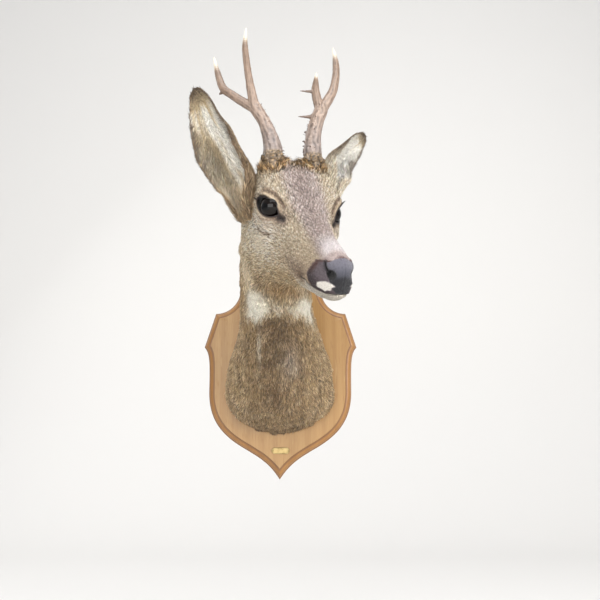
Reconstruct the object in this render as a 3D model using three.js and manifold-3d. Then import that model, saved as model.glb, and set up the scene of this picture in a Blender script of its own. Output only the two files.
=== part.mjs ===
// Roe deer shoulder mount on a carved oak shield: head and neck turned to its left, nose down.
// Frame: origin on the shield's flat back, +Z up, the deer looks out along -Y. Millimetres.
// The animal is one continuous form, drawn as sections strung from the shield to the nose and
// parted by thin cuts where a person names the parts.
import * as THREE from 'three';
import { mergeVertices } from 'three/addons/utils/BufferGeometryUtils.js';
import Module from 'manifold-3d';

const wasm = await Module();
wasm.setup();

// ---- driving dimensions ----
const GAP = 0.3; // clearance between touching pieces

const SHIELD = {
  thickness: 20,
  spike: { x: 100, z: 24 }, // widest points
  corner: { x: 86, z: 69 }, // upper corners, under the scoops
  scoopRadius: 32,
  waist: 92.5, // half width below the spikes
  tip: -145,
  peak: 145,
  slab: 11, // square edge before the moulding begins
  step: 1.3, // small flat the moulding springs from
  ovolo: 6.5, // rounded moulding, inward
};

const PLATE = { width: 23, height: 8, thickness: 0.8, x: 1.2, z: -109, corner: 2.2 };
const PIN = { radius: 0.8, height: 0.9, inset: 1.9 };

const HEAD_YAW = 24; // degrees, turned to the deer's left
const HEAD_PITCH = 32; // nose down
const HEAD_ROLL = 6.5; // deer's right side lifted
const BETWEEN_EYES = new THREE.Vector3(26.8, -259.6, 126.4);

// Neck sections: nape (y, z), throat side (y, z), sideways drift of both, half width, height of
// the widest level (-1 throat .. 1 nape), roundness above and below it (2 is an ellipse), and the
// share of the head's turn that the section has taken up.
const NECK = [
  { nape: [-20.3, 95], throat: [-20.3, -90], drift: [0, 0],
    half: 70.5, level: -0.49, round: [1.8, 1.8], turn: 0 },
  { nape: [-50, 102], throat: [-45, -83], drift: [0, 0],
    half: 69, level: -0.46, round: [1.6, 2.0], turn: 0 },
  { nape: [-86, 114], throat: [-82, -59], drift: [-0.5, -0.5],
    half: 53.5, level: -0.35, round: [1.7, 2.0], turn: 0 },
  { nape: [-118, 128], throat: [-120, -26], drift: [-1.5, -1],
    half: 44.5, level: -0.2, round: [1.85, 2.1], turn: 0.1 },
  { nape: [-150, 144], throat: [-158, 14], drift: [-2, -2],
    half: 42, level: -0.08, round: [1.9, 2.0], turn: 0.28 },
  { nape: [-180, 160], throat: [-190, 44], drift: [-1, 0],
    half: 40.5, level: 0, round: [2.0, 2.0], turn: 0.52 },
  { nape: [-206, 175], throat: [-206, 60], drift: [2.5, 5.5],
    half: 44, level: 0, round: [2.0, 2.0], turn: 0.8 },
];

// Head sections in the head's own frame (forward, up from the point between the eyes).
const HEAD = [
  { top: [-64, 30], under: [-1.5, -79], half: 45, level: 0.05, round: [2.0, 2.0] },
  { top: [-48, 37], under: [4, -77], half: 45.5, level: 0.15, round: [2.1, 2.0] },
  { top: [-32, 39.5], under: [10, -75.5], half: 44.5, level: 0.25, round: [2.2, 1.9] },
  { top: [-16, 35], under: [17, -74], half: 45.5, level: 0.32, round: [2.2, 1.8] },
  { top: [-1, 28], under: [24, -72], half: 41.5, level: 0.35, round: [2.2, 1.75] },
  { top: [13, 22], under: [32, -70], half: 32.5, level: 0.3, round: [2.0, 1.8] },
  { top: [30, 14.5], under: [43, -67], half: 26.5, level: 0.12, round: [1.8, 1.9] },
  { top: [48, 7.5], under: [56, -63.5], half: 24, level: -0.05, round: [1.7, 2.1] },
  { top: [66, 1.5], under: [69, -61], half: 21, level: -0.15, round: [1.7, 2.2] },
  { top: [82, -3.5], under: [82, -59.5], half: 18.7, level: -0.12, round: [1.9, 2.2] },
  { top: [95, -8], under: [92, -57.8], half: 16.4, level: 0, round: [2.0, 2.2] },
  { top: [105.5, -11], under: [102, -55], half: 13.2, level: 0.1, round: [1.85, 2.2] },
  { top: [113, -15], under: [110, -51.5], half: 10.8, level: 0.15, round: [1.9, 2.2] },
  { top: [116.7, -21.5], under: [115, -46.2], half: 8.2, level: 0.1, round: [1.9, 2.2] },
  { top: [117.8, -30], under: [117.5, -37], half: 1.2, level: 0, round: [2.0, 2.0] },
];

// Swellings and hollows on both sides of the head: middle, reach and push, each as
// (forward, sideways, up).
const FEATURES = [
  { at: [4, 38, 19], reach: [17, 14, 8], push: [0, 3.5, 3] }, // brow
  { at: [9, 36, 3], reach: [14, 16, 10], push: [0, -3.5, 0] }, // set-in of the eye
  { at: [30, 24, 2], reach: [11, 12, 7], push: [0, -3, 0] }, // pit before the eye
  { at: [-18, 38, -44], reach: [26, 30, 24], push: [0, 2.5, 0] }, // cheek
  { at: [4, 38, -17], reach: [14, 16, 6], push: [0, 1, 0] }, // pouch under the eye
  { at: [92, 16, -38], reach: [15, 12, 9], push: [0, 2.5, 0] }, // upper lip
  { at: [103, 12, -20], reach: [8, 8, 8], push: [1, 1.5, 0.5] }, // nostril wing
  { at: [-33, 24, 32], reach: [18, 21, 18], push: [-1, 2, 13.5] }, // bone under the antler
  { at: [-54, 46, 12], reach: [17, 22, 17], push: [-3, 12, 4] }, // root of the ear
];

const LEFT_EYE_DROP = 5.5; // the left eye is set lower than the right
const EYE = {
  middle: [-1, 30, 4.2],
  radius: 13,
  looks: [0.47, 0.86, 0.17], // way out of the socket
  opening: { long: 12, high: 8.6, deep: 6, out: 12.5 }, // half sizes of the parted lids
};

const MOUTH = { corner: [64, -43.5], lip: [124, -44.5], jawBack: [34, -56], depth: 100 };
const MUZZLE_START = 62; // forward distance at which the muzzle parts from the head
const NOSE_PAD = { back: 101, low: -41.5, lean: 8 }; // bare skin: behind `back` it is haired

// Each ear: middle line from root to tip in the head's frame (sideways is to the deer's left),
// half width and half angle of the cup along it, and the way the cup opens.
const EAR_THICKNESS = 3.4;
const EAR_CUP = [2.75, 2.35, 1.75, 1.5, 1.35, 1.15, 0.8, 0.4];
const EARS = {
  ear_right: {
    line: [
      [-34.6, -37, -20.4], [-43.5, -38.7, -3.9], [-54.7, -41.1, 15.1], [-71.5, -52.2, 33.8],
      [-87, -59.7, 49.2], [-101.3, -68.8, 64], [-117.3, -77.7, 83.5], [-128.5, -86.4, 98.9],
    ],
    half: [8.3, 13.5, 19.8, 23.3, 25.2, 21, 15.1, 6.6],
    opens: [0.547, -0.82, 0.17],
  },
  ear_left: {
    line: [
      [-41.4, 39.6, 2.3], [-51.1, 44.9, 13.2], [-66, 51.5, 21.5], [-83.9, 61.8, 29.7],
      [-97.3, 76.1, 37.8], [-109.1, 91.5, 45.7], [-122.6, 109.2, 55], [-134.6, 125.2, 60.7],
    ],
    half: [9.3, 11.4, 15.9, 17.6, 15.1, 13.5, 10.2, 4.9],
    opens: [0.971, 0.167, 0.168],
  },
};

// Antlers in the head's frame: each stem is a middle line and its radii.
const ANTLERS = {
  antler_right: {
    beam: {
      line: [
        [-33, -24, 47], [-39, -23.3, 57], [-47.7, -25.3, 68.4],
        [-56.4, -29.5, 80], [-65.4, -35.7, 90], [-68.5, -37.5, 94],
      ],
      radii: [10.6, 9.5, 7.8, 6.5, 6.6, 5.0],
    },
    top: {
      line: [
        [-66.5, -37, 92], [-71.5, -39, 102], [-78.4, -42, 118.7],
        [-87, -43.7, 135.4], [-95, -44, 149.4], [-106.2, -41, 165.7],
      ],
      radii: [5.6, 4.9, 4.0, 3.6, 3.0, 0.7],
    },
    tine: {
      line: [
        [-66, -37, 90.5], [-77.6, -46.4, 94.7], [-90, -55, 99.7],
        [-103, -61.7, 104.8], [-119, -64.5, 118.3], [-133.6, -65.8, 133.3],
      ],
      radii: [5.4, 4.8, 4.4, 4.3, 3.3, 0.7],
    },
    beamSpurs: [],
    tineSpurs: [
      {
        line: [
          [-99, -60, 103], [-99.6, -63.8, 100.3], [-99.8, -66, 98],
        ],
        radii: [3, 1.9, 0.7],
      },
    ],
    pearlSide: 1, // towards the other antler
  },
  antler_left: {
    beam: {
      line: [
        [-33.6, 20.2, 46.5], [-40.4, 21.2, 58], [-47, 22.8, 70.4],
        [-53.8, 27.7, 84], [-58.5, 32.7, 95], [-60.5, 34.5, 99],
      ],
      radii: [9.8, 9.0, 8.2, 7.4, 7.4, 5.6],
    },
    top: {
      line: [
        [-58.8, 34, 96], [-63.6, 41.3, 105], [-71.5, 49.4, 116],
        [-85, 56, 130.7], [-98.7, 59.6, 142.3], [-114, 61.2, 156],
      ],
      radii: [5.8, 5.4, 4.7, 4.1, 3.4, 0.7],
    },
    tine: {
      line: [
        [-59, 32, 96], [-61.2, 28.7, 103.3], [-63.8, 26.2, 113],
        [-65.2, 25.9, 121.7], [-67.5, 26.3, 130.8],
      ],
      radii: [5.8, 5.1, 4.4, 3.0, 0.7],
    },
    beamSpurs: [
      {
        line: [
          [-57, 27, 87.5], [-54.5, 18.5, 87.4], [-51.8, 5.2, 87.2],
        ],
        radii: [3.2, 1.9, 0.5],
      },
    ],
    tineSpurs: [
      {
        line: [
          [-64.2, 26.5, 112.5], [-62.9, 19.5, 112], [-61.6, 8.1, 111.7],
        ],
        radii: [2.8, 1.6, 0.5],
      },
    ],
    pearlSide: -1, // towards the other antler
  },
};

// Burr: the knobbed ring at the foot of each antler, on the short bony stalk it grew from.
const BURR = {
  radius: 13.2,
  rises: [-13, -4, -1.5, 1.5, 3.5], // along the beam's root
  share: [0.7, 0.74, 1, 0.98, 0.74], // of the radius, at each rise
  knobs: 11,
  knobDepth: 1.3,
  sides: 22,
};
// Pearls: knobs of bone on the inner side of the beam.
const PEARLS = { rows: 6, perRow: 2, radius: 1.7, spread: 0.75, first: 0.75, step: 0.36, wander: 0.25 };
const STEM_SIDES = { beam: 10, branch: 8, spur: 6 };
const GNARLS = { count: 4, depth: 0.05, end: 3.5 }; // ridges of the lower beam, in stations

const COLOURS = {
  oak: { color: 0xc79a63, roughness: 0.55, metalness: 0 },
  brass: { color: 0xc2a45a, roughness: 0.4, metalness: 1 },
  neckCoat: { color: 0x8a7762, roughness: 0.9, metalness: 0 },
  headCoat: { color: 0x978470, roughness: 0.9, metalness: 0 },
  chinCoat: { color: 0xd8cdbb, roughness: 0.9, metalness: 0 },
  nose: { color: 0x2c2b31, roughness: 0.45, metalness: 0 },
  earCoat: { color: 0xb3a58c, roughness: 0.9, metalness: 0 },
  eye: { color: 0x14100e, roughness: 0.06, metalness: 0 },
  antler: { color: 0x7d6a5c, roughness: 0.6, metalness: 0 },
};

// ---- small maths ----
const V = (p) => new THREE.Vector3(p[0], p[1], p[2]);

// Smooth value through evenly spaced stations (Catmull-Rom); the place t runs 0 .. n-1.
function through(values, t) {
  const last = values.length - 1;
  const i = Math.min(Math.max(Math.floor(t), 0), last - 1);
  const x = Math.min(Math.max(t, 0), last) - i;
  const [a, b, c, d] = [i - 1, i, i + 1, i + 2].map((k) => values[Math.min(Math.max(k, 0), last)]);
  const one = (p, q, r, s) =>
    0.5 * (2 * q + (r - p) * x + (2 * p - 5 * q + 4 * r - s) * x * x + (3 * q - p - 3 * r + s) * x ** 3);
  return Array.isArray(b) ? b.map((_, k) => one(a[k], b[k], c[k], d[k])) : one(a, b, c, d);
}

// A closed body from rows of rings. Each end is a fan round its middle or, where the ring is a
// folded strip, rungs straight across the fold. Rings turn so that faces look out.
function ringBody(rings, folded = false) {
  const count = rings[0].length;
  const positions = [];
  const faces = [];
  rings.forEach((ring) => ring.forEach((p) => positions.push(p.x, p.y, p.z)));
  for (let i = 0; i + 1 < rings.length; i++) {
    for (let j = 0; j < count; j++) {
      const a = i * count + j;
      const b = i * count + ((j + 1) % count);
      faces.push(a, b, a + count, b, b + count, a + count);
    }
  }
  [0, rings.length - 1].forEach((row) => {
    if (folded) {
      for (let j = 0; j + 1 < count / 2; j++) {
        const [a, b, c, d] = [j, j + 1, count - 2 - j, count - 1 - j].map((k) => row * count + k);
        faces.push(...(row === 0 ? [b, a, d, b, d, c] : [a, b, c, a, c, d]));
      }
      return;
    }
    const middle = rings[row].reduce((sum, p) => sum.add(p), new THREE.Vector3()).divideScalar(count);
    const hub = positions.length / 3;
    positions.push(middle.x, middle.y, middle.z);
    for (let j = 0; j < count; j++) {
      const a = row * count + j;
      const b = row * count + ((j + 1) % count);
      faces.push(...(row === 0 ? [b, a, hub] : [a, b, hub]));
    }
  });
  const geometry = new THREE.BufferGeometry();
  geometry.setAttribute('position', new THREE.Float32BufferAttribute(positions, 3));
  geometry.setIndex(faces);
  return geometry;
}

function toSolid(geometry) {
  const bare = geometry.clone();
  bare.deleteAttribute('normal');
  bare.deleteAttribute('uv');
  const merged = mergeVertices(bare, 1e-4);
  return new wasm.Manifold(
    new wasm.Mesh({
      numProp: 3,
      vertProperties: new Float32Array(merged.attributes.position.array),
      triVerts: new Uint32Array(merged.index.array),
    }),
  );
}

function toGeometry(solid) {
  const mesh = solid.getMesh();
  const geometry = new THREE.BufferGeometry();
  geometry.setAttribute('position', new THREE.Float32BufferAttribute(mesh.vertProperties, 3));
  geometry.setIndex(new THREE.Uint32BufferAttribute(mesh.triVerts, 1));
  geometry.computeVertexNormals();
  return geometry;
}

function named(name, geometry, look) {
  const mesh = new THREE.Mesh(geometry, new THREE.MeshStandardMaterial(COLOURS[look]));
  mesh.name = name;
  if (!geometry.attributes.normal) geometry.computeVertexNormals();
  return mesh;
}

// ---- the head's frame: x forward, y to the deer's left, z up ----
const degrees = THREE.MathUtils.degToRad;
const headMatrix = new THREE.Matrix4()
  .makeRotationZ(degrees(HEAD_YAW))
  .multiply(new THREE.Matrix4().makeRotationX(degrees(HEAD_PITCH)))
  .multiply(new THREE.Matrix4().makeRotationY(degrees(-HEAD_ROLL)))
  .multiply(new THREE.Matrix4().makeBasis(V([0, -1, 0]), V([1, 0, 0]), V([0, 0, 1])))
  .setPosition(BETWEEN_EYES);
const intoHead = headMatrix.clone().invert();
const leftWays = new THREE.Vector3().setFromMatrixColumn(headMatrix, 1);

// ---- one form from the shield to the nose ----
const headPoint = ([forward, up]) => new THREE.Vector3(forward, 0, up).applyMatrix4(headMatrix).toArray();
const straight = [1, 0, 0];
const leaning = (share) => V(straight).lerp(leftWays, share).normalize().toArray();
const SECTIONS = {
  over: [...NECK.map((s) => [s.drift[0], ...s.nape]), ...HEAD.map((s) => headPoint(s.top))],
  under: [...NECK.map((s) => [s.drift[1], ...s.throat]), ...HEAD.map((s) => headPoint(s.under))],
  across: [...NECK.map((s) => leaning(s.turn)), ...HEAD.map(() => leftWays.toArray())],
  girth: [...NECK, ...HEAD].map((s) => [s.half, s.level, ...s.round]),
};
const FIRST_OF_HEAD = NECK.length;
const LAST = NECK.length + HEAD.length - 1;

// Moves a point of the head by every feature that reaches it, alike on both sides but for the
// lower set of the left eye.
function withFeatures(point) {
  const here = point.clone().applyMatrix4(intoHead);
  const nearEye = here.y > EYE.middle[1] / 2 && Math.abs(here.x) < 2 * EYE.radius;
  const from = [here.x, Math.abs(here.y), here.z + (nearEye ? LEFT_EYE_DROP : 0)];
  const side = Math.tanh(here.y / 6);
  for (const { at, reach, push } of FEATURES) {
    const away = from.reduce((sum, value, k) => sum + ((value - at[k]) / reach[k]) ** 2, 0);
    const strength = Math.exp(-away);
    here.x += strength * push[0];
    here.y += strength * push[1] * side;
    here.z += strength * push[2];
  }
  return here.applyMatrix4(headMatrix);
}

// Point of the form at station t and angle round it (0 at the top, turning to the deer's left),
// `grow` millimetres outside the true surface.
function formPoint(t, angle, grow = 0) {
  const over = V(through(SECTIONS.over, t));
  const under = V(through(SECTIONS.under, t));
  const [half, level, above, below] = through(SECTIONS.girth, t);
  const up = over.clone().sub(under);
  const reach = up.length() / 2 + grow;
  up.normalize();
  const across = V(through(SECTIONS.across, t));
  across.addScaledVector(up, -across.dot(up)).normalize();
  const s = Math.sin(angle);
  const c = Math.cos(angle);
  const power = 2 / (c >= 0 ? above : below);
  const side = (half + grow) * Math.sign(s) * Math.abs(s) ** power;
  const rise = c >= 0 ? level + (1 - level) * c ** power : level - (1 + level) * Math.abs(c) ** power;
  const point = over.add(under).multiplyScalar(0.5);
  point.addScaledVector(across, side).addScaledVector(up, rise * reach);
  return withFeatures(point);
}

function form(from, to, rows, columns, grow = 0) {
  const rings = [];
  for (let i = 0; i <= rows; i++) {
    const t = from + ((to - from) * i) / rows;
    rings.push(
      Array.from({ length: columns }, (_, j) => formPoint(t, (-2 * Math.PI * j) / columns, grow)),
    );
  }
  return ringBody(rings);
}

// A tapering stem along a smooth line, in the head's frame.
function stem({ line, radii }, sides, perSpan, grow = 0, bumps = null) {
  const steps = (line.length - 1) * perSpan;
  const rings = [];
  const a = new THREE.Vector3(0.9, 0.25, 0.35);
  for (let i = 0; i <= steps; i++) {
    const t = i / perSpan;
    const middle = V(through(line, t));
    const ahead = V(through(line, t + 0.01)).sub(V(through(line, t - 0.01))).normalize();
    a.addScaledVector(ahead, -a.dot(ahead)).normalize();
    const b = new THREE.Vector3().crossVectors(ahead, a);
    const radius = through(radii, t) + grow;
    rings.push(
      Array.from({ length: sides }, (_, j) => {
        const turn = (2 * Math.PI * j) / sides;
        const r = radius * (bumps ? bumps(t, turn) : 1);
        return middle.clone().addScaledVector(a, r * Math.cos(turn)).addScaledVector(b, r * Math.sin(turn));
      }),
    );
  }
  return ringBody(rings);
}

// A cupped leaf of even thickness: the ear.
function earShell({ line, half, opens }, rows, columns) {
  const facing = V(opens).normalize();
  const skin = (row, column, lift) => {
    const t = ((line.length - 1) * row) / rows;
    const middle = V(through(line, t));
    const along = V(through(line, t + 0.01)).sub(V(through(line, t - 0.01))).normalize();
    const out = facing.clone().addScaledVector(along, -facing.dot(along)).normalize();
    const across = new THREE.Vector3().crossVectors(along, out);
    const cup = through(EAR_CUP, t);
    const width = Math.max(through(half, t), 0.8);
    const radius = cup < Math.PI / 2 ? width / Math.sin(cup) : width;
    const turn = cup * (-1 + (2 * column) / columns);
    const r = radius + lift;
    middle.addScaledVector(across, r * Math.sin(turn));
    return middle.addScaledVector(out, radius - r * Math.cos(turn));
  };
  const rings = [];
  for (let row = 0; row <= rows; row++) {
    const t = row / rows;
    const thick = EAR_THICKNESS * (1 - 0.55 * t);
    const back = Array.from({ length: columns + 1 }, (_, j) => skin(row, j, thick / 2));
    const front = Array.from({ length: columns + 1 }, (_, j) => skin(row, columns - j, -thick / 2));
    rings.push([...back, ...front].reverse());
  }
  return ringBody(rings, true);
}

// A block in the head's frame: an outline in the (forward, up) plane run through sideways.
function sideBlock(points, depth) {
  const outline = new THREE.Shape(points.map(([forward, up]) => new THREE.Vector2(forward, up)));
  const block = new THREE.ExtrudeGeometry(outline, { depth, bevelEnabled: false });
  block.translate(0, 0, -depth / 2);
  block.rotateX(Math.PI / 2);
  return block;
}

// ---- shield ----
function shieldOutline() {
  const { spike, corner, scoopRadius, waist, tip, peak } = SHIELD;
  const shoulder = { x: corner.x - scoopRadius, z: corner.z + scoopRadius };
  const outline = new THREE.Shape();
  outline.moveTo(0, tip);
  outline.bezierCurveTo(13, tip + 20, 26, tip + 27, 41, tip + 36);
  outline.bezierCurveTo(70, tip + 52, waist, tip + 70, waist, tip + 112);
  outline.bezierCurveTo(waist, spike.z - 18, waist + 0.5, spike.z - 8, spike.x, spike.z);
  outline.quadraticCurveTo(corner.x + 6.5, corner.z - 21, corner.x, corner.z);
  outline.absarc(corner.x, shoulder.z, scoopRadius, -Math.PI / 2, -Math.PI, true);
  outline.lineTo(shoulder.x - 1, shoulder.z + 7);
  outline.bezierCurveTo(shoulder.x - 6, peak - 17, 20, peak - 20, 0, peak);
  const rightSide = outline.getPoints(5);
  const leftSide = rightSide
    .slice(1, -1)
    .reverse()
    .map((p) => new THREE.Vector2(-p.x, p.y));
  return [...rightSide, ...leftSide].filter((p, i, all) => p.distanceTo(all[(i + 1) % all.length]) > 0.2);
}

// The outline drawn in by a margin, along the bisector at each corner.
function drawnIn(points, margin) {
  return points.map((p, i) => {
    const before = p.clone().sub(points[(i + points.length - 1) % points.length]).normalize();
    const after = points[(i + 1) % points.length].clone().sub(p).normalize();
    const normal = new THREE.Vector2(-(before.y + after.y), before.x + after.x).normalize();
    const stretch = Math.min(1 / Math.max(normal.dot(new THREE.Vector2(-after.y, after.x)), 0.1), 2.2);
    return p.clone().addScaledVector(normal, margin * stretch);
  });
}

function shieldBody() {
  const { thickness, slab, step, ovolo } = SHIELD;
  const outline = shieldOutline();
  const steps = 3;
  const levels = [[0, 0], [slab, 0], [slab + 0.4, step]];
  for (let i = 1; i <= steps; i++) {
    const a = (Math.PI / 2) * (i / steps);
    levels.push([slab + 0.4 + (thickness - slab - 0.4) * Math.sin(a), step + ovolo * (1 - Math.cos(a))]);
  }
  const positions = [];
  const faces = [];
  const count = outline.length;
  levels.forEach(([depth, margin]) =>
    drawnIn(outline, margin).forEach((p) => positions.push(p.x, -depth, p.y)),
  );
  for (let i = 0; i + 1 < levels.length; i++) {
    for (let j = 0; j < count; j++) {
      const a = i * count + j;
      const b = i * count + ((j + 1) % count);
      faces.push(a, b, a + count, b, b + count, a + count);
    }
  }
  const lid = (row, flip) => {
    const [, margin] = levels[row];
    const cap = THREE.ShapeUtils.triangulateShape(drawnIn(outline, margin), []);
    cap.forEach(([a, b, c]) => faces.push(...(flip ? [a, c, b] : [a, b, c]).map((k) => k + row * count)));
  };
  lid(0, true);
  lid(levels.length - 1, false);
  const geometry = new THREE.BufferGeometry();
  geometry.setAttribute('position', new THREE.Float32BufferAttribute(positions, 3));
  geometry.setIndex(faces);
  return geometry;
}

function plateBody() {
  const { width, height, thickness, corner } = PLATE;
  const [w, h] = [width / 2, height / 2];
  const outline = new THREE.Shape();
  outline.moveTo(-w + corner, -h);
  outline.lineTo(w - corner, -h);
  outline.absarc(w, -h, corner, Math.PI, Math.PI / 2, true);
  outline.lineTo(w, h - corner);
  outline.absarc(w, h, corner, -Math.PI / 2, -Math.PI, true);
  outline.lineTo(-w + corner, h);
  outline.absarc(-w, h, corner, 0, -Math.PI / 2, true);
  outline.lineTo(-w, -h + corner);
  outline.absarc(-w, -h, corner, Math.PI / 2, 0, true);
  const sheet = { depth: thickness, bevelEnabled: false, curveSegments: 4 };
  const plate = new THREE.ExtrudeGeometry(outline, sheet);
  plate.rotateX(Math.PI / 2);
  return plate;
}

const board = new THREE.Group();
board.add(named('shield', shieldBody(), 'oak'));
const plate = named('name_plate', plateBody(), 'brass');
plate.position.set(PLATE.x, -SHIELD.thickness - GAP, PLATE.z);
board.add(plate);
for (const [side, name] of [[-1, 'plate_pin_right'], [1, 'plate_pin_left']]) {
  const head = new THREE.CylinderGeometry(PIN.radius, PIN.radius * 0.7, PIN.height, 10);
  const pin = named(name, head, 'brass');
  pin.position.set(
    PLATE.x + side * (PLATE.width / 2 - PIN.inset),
    -SHIELD.thickness - 2 * GAP - PLATE.thickness - PIN.height / 2,
    PLATE.z,
  );
  board.add(pin);
}

// ---- shoulder and neck ----
const CUT = 0.012; // half a parting, in stations
const COLUMNS = 26;
const SHOULDER_END = 2;
const NECK_END = FIRST_OF_HEAD - 0.6;
const animal = new THREE.Group();
animal.add(named('shoulder', form(0, SHOULDER_END - CUT, 4, COLUMNS), 'neckCoat'));
animal.add(named('neck', form(SHOULDER_END + CUT, NECK_END - CUT, 8, COLUMNS), 'neckCoat'));

// ---- head, cut out for the eyes and parted at the mouth, muzzle and nose ----
const headGroup = new THREE.Group();
headGroup.applyMatrix4(headMatrix);

const FORM_ROWS = 25;
const headForm = (grow) => form(NECK_END + CUT, LAST, FORM_ROWS, COLUMNS, grow).applyMatrix4(intoHead);
const headSolid = toSolid(headForm(0));
const headKeepOut = toSolid(headForm(GAP));
const neckKeepOut = toSolid(form(SHOULDER_END, NECK_END + 2, 12, COLUMNS, GAP).applyMatrix4(intoHead));

const eyeMiddle = (side) => [
  EYE.middle[0], side * EYE.middle[1], EYE.middle[2] - (side > 0 ? LEFT_EYE_DROP : 0),
];
const eyeBall = (side, radius) => {
  const ball = new THREE.SphereGeometry(radius, 14, 10);
  ball.translate(...eyeMiddle(side));
  return ball;
};
let rest = headSolid;
// The parted lids: an egg-shaped opening in front of the ball, turned the way the eye looks.
const lidOpening = (side) => {
  const { long, high, deep, out } = EYE.opening;
  const looks = V([EYE.looks[0], side * EYE.looks[1], EYE.looks[2]]).normalize();
  const across = new THREE.Vector3().crossVectors(V([0, 0, 1]), looks).normalize();
  const up = new THREE.Vector3().crossVectors(looks, across);
  const middle = V(eyeMiddle(side)).addScaledVector(looks, out);
  const egg = new THREE.SphereGeometry(1, 14, 10);
  egg.scale(long, high, deep);
  egg.applyMatrix4(new THREE.Matrix4().makeBasis(across, up, looks).setPosition(middle));
  return egg;
};
for (const side of [-1, 1]) {
  rest = rest.subtract(toSolid(eyeBall(side, EYE.radius + GAP))).subtract(toSolid(lidOpening(side)));
}

const jawOutline = (g) => [
  [MOUTH.corner[0] - g, MOUTH.corner[1] + g],
  [MOUTH.lip[0], MOUTH.lip[1] + g],
  [MOUTH.lip[0], -MOUTH.depth],
  [MOUTH.jawBack[0] - g, -MOUTH.depth],
  [MOUTH.jawBack[0] - g, MOUTH.jawBack[1]],
].reverse();
const jawBlock = toSolid(sideBlock(jawOutline(0), MOUTH.depth));
const aboveJaw = toSolid(sideBlock(jawOutline(GAP), MOUTH.depth + 2));
const jaw = rest.intersect(jawBlock);
rest = rest.subtract(aboveJaw);

const frontBlock = (start) => toSolid(sideBlock([[start, -100], [140, -100], [140, 60], [start, 60]], 120));
const front = rest.intersect(frontBlock(MUZZLE_START + GAP));
const head = rest.subtract(frontBlock(MUZZLE_START));
const padOutline = (g) => [
  [NOSE_PAD.back - g, NOSE_PAD.low - g],
  [140, NOSE_PAD.low - g],
  [140, 20],
  [NOSE_PAD.back - g - NOSE_PAD.lean * 0.4, 20],
];
const nosePad = front.intersect(toSolid(sideBlock(padOutline(0), 60)));
const muzzle = front.subtract(toSolid(sideBlock(padOutline(GAP), 62)));

headGroup.add(named('head', toGeometry(head), 'headCoat'));
headGroup.add(named('muzzle', toGeometry(muzzle), 'headCoat'));
headGroup.add(named('lower_jaw', toGeometry(jaw), 'chinCoat'));
headGroup.add(named('nose_pad', toGeometry(nosePad), 'nose'));
headGroup.add(named('eye_right', eyeBall(-1, EYE.radius), 'eye'));
headGroup.add(named('eye_left', eyeBall(1, EYE.radius), 'eye'));

// ---- ears ----
for (const [name, ear] of Object.entries(EARS)) {
  const shell = toSolid(earShell(ear, 10, 8)).subtract(headKeepOut).subtract(neckKeepOut);
  const pieces = shell.decompose().sort((a, b) => b.volume() - a.volume());
  headGroup.add(named(name, toGeometry(pieces[0]), 'earCoat'));
}

// ---- antlers: burr, beam with pearls, top and tine, parted at the fork ----
const biggest = (solid) => solid.decompose().sort((a, b) => b.volume() - a.volume())[0];
const gnarled = (t, turn) =>
  1 + GNARLS.depth * Math.sin(GNARLS.count * turn + 2 * t) * Math.max(0, 1 - t / GNARLS.end);
for (const [name, antler] of Object.entries(ANTLERS)) {
  const root = V(antler.beam.line[0]);
  const rise = V(antler.beam.line[1]).sub(root).normalize();
  const knobby = (t, turn) => 1 + (BURR.knobDepth / BURR.radius) * Math.sin(BURR.knobs * turn + t);
  const ringLine = BURR.rises.map((up) => root.clone().addScaledVector(rise, up).toArray());
  const rim = BURR.share.map((k) => k * BURR.radius);
  const burr = stem({ line: ringLine, radii: rim }, BURR.sides, 1, 0, knobby);
  const burrSolid = toSolid(burr).subtract(headKeepOut);
  const burrKeepOut = toSolid(stem({ line: ringLine, radii: rim }, BURR.sides, 1, GAP, knobby));
  let beam = toSolid(stem(antler.beam, STEM_SIDES.beam, 2, 0, gnarled));
  for (let row = 0; row < PEARLS.rows; row++) {
    for (let k = 0; k < PEARLS.perRow; k++) {
      const t = PEARLS.first + (row + 0.5 * k) * PEARLS.step;
      const middle = V(through(antler.beam.line, t));
      const ahead = V(through(antler.beam.line, t + 0.01)).sub(middle).normalize();
      const swing = PEARLS.spread * (k - 0.5) + PEARLS.wander * Math.sin(5 * row);
      const inward = V([0.55, antler.pearlSide, 0]).applyAxisAngle(ahead, swing);
      inward.addScaledVector(ahead, -inward.dot(ahead)).normalize();
      const pearl = new THREE.IcosahedronGeometry(PEARLS.radius * (1 - 0.06 * row), 0);
      const at = middle.addScaledVector(inward, through(antler.beam.radii, t) * 0.97);
      pearl.translate(at.x, at.y, at.z);
      beam = beam.add(toSolid(pearl));
    }
  }
  for (const spur of antler.beamSpurs) beam = beam.add(toSolid(stem(spur, STEM_SIDES.spur, 2)));
  beam = biggest(beam.subtract(burrKeepOut).subtract(headKeepOut));
  let tine = toSolid(stem(antler.tine, STEM_SIDES.branch, 2));
  for (const spur of antler.tineSpurs) tine = tine.add(toSolid(stem(spur, STEM_SIDES.spur, 2)));
  const beamKeepOut = toSolid(stem(antler.beam, STEM_SIDES.beam, 2, GAP, gnarled));
  tine = biggest(tine.subtract(beamKeepOut));
  let top = toSolid(stem(antler.top, STEM_SIDES.branch, 2)).subtract(beamKeepOut);
  top = biggest(top.subtract(toSolid(stem(antler.tine, STEM_SIDES.branch, 2, GAP))));
  headGroup.add(named(`${name}_burr`, toGeometry(burrSolid), 'antler'));
  headGroup.add(named(`${name}_beam`, toGeometry(beam), 'antler'));
  headGroup.add(named(`${name}_top`, toGeometry(top), 'antler'));
  headGroup.add(named(`${name}_tine`, toGeometry(tine), 'antler'));
}

animal.add(headGroup);
const mount = new THREE.Group();
mount.add(board, animal);
export default mount;
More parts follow.
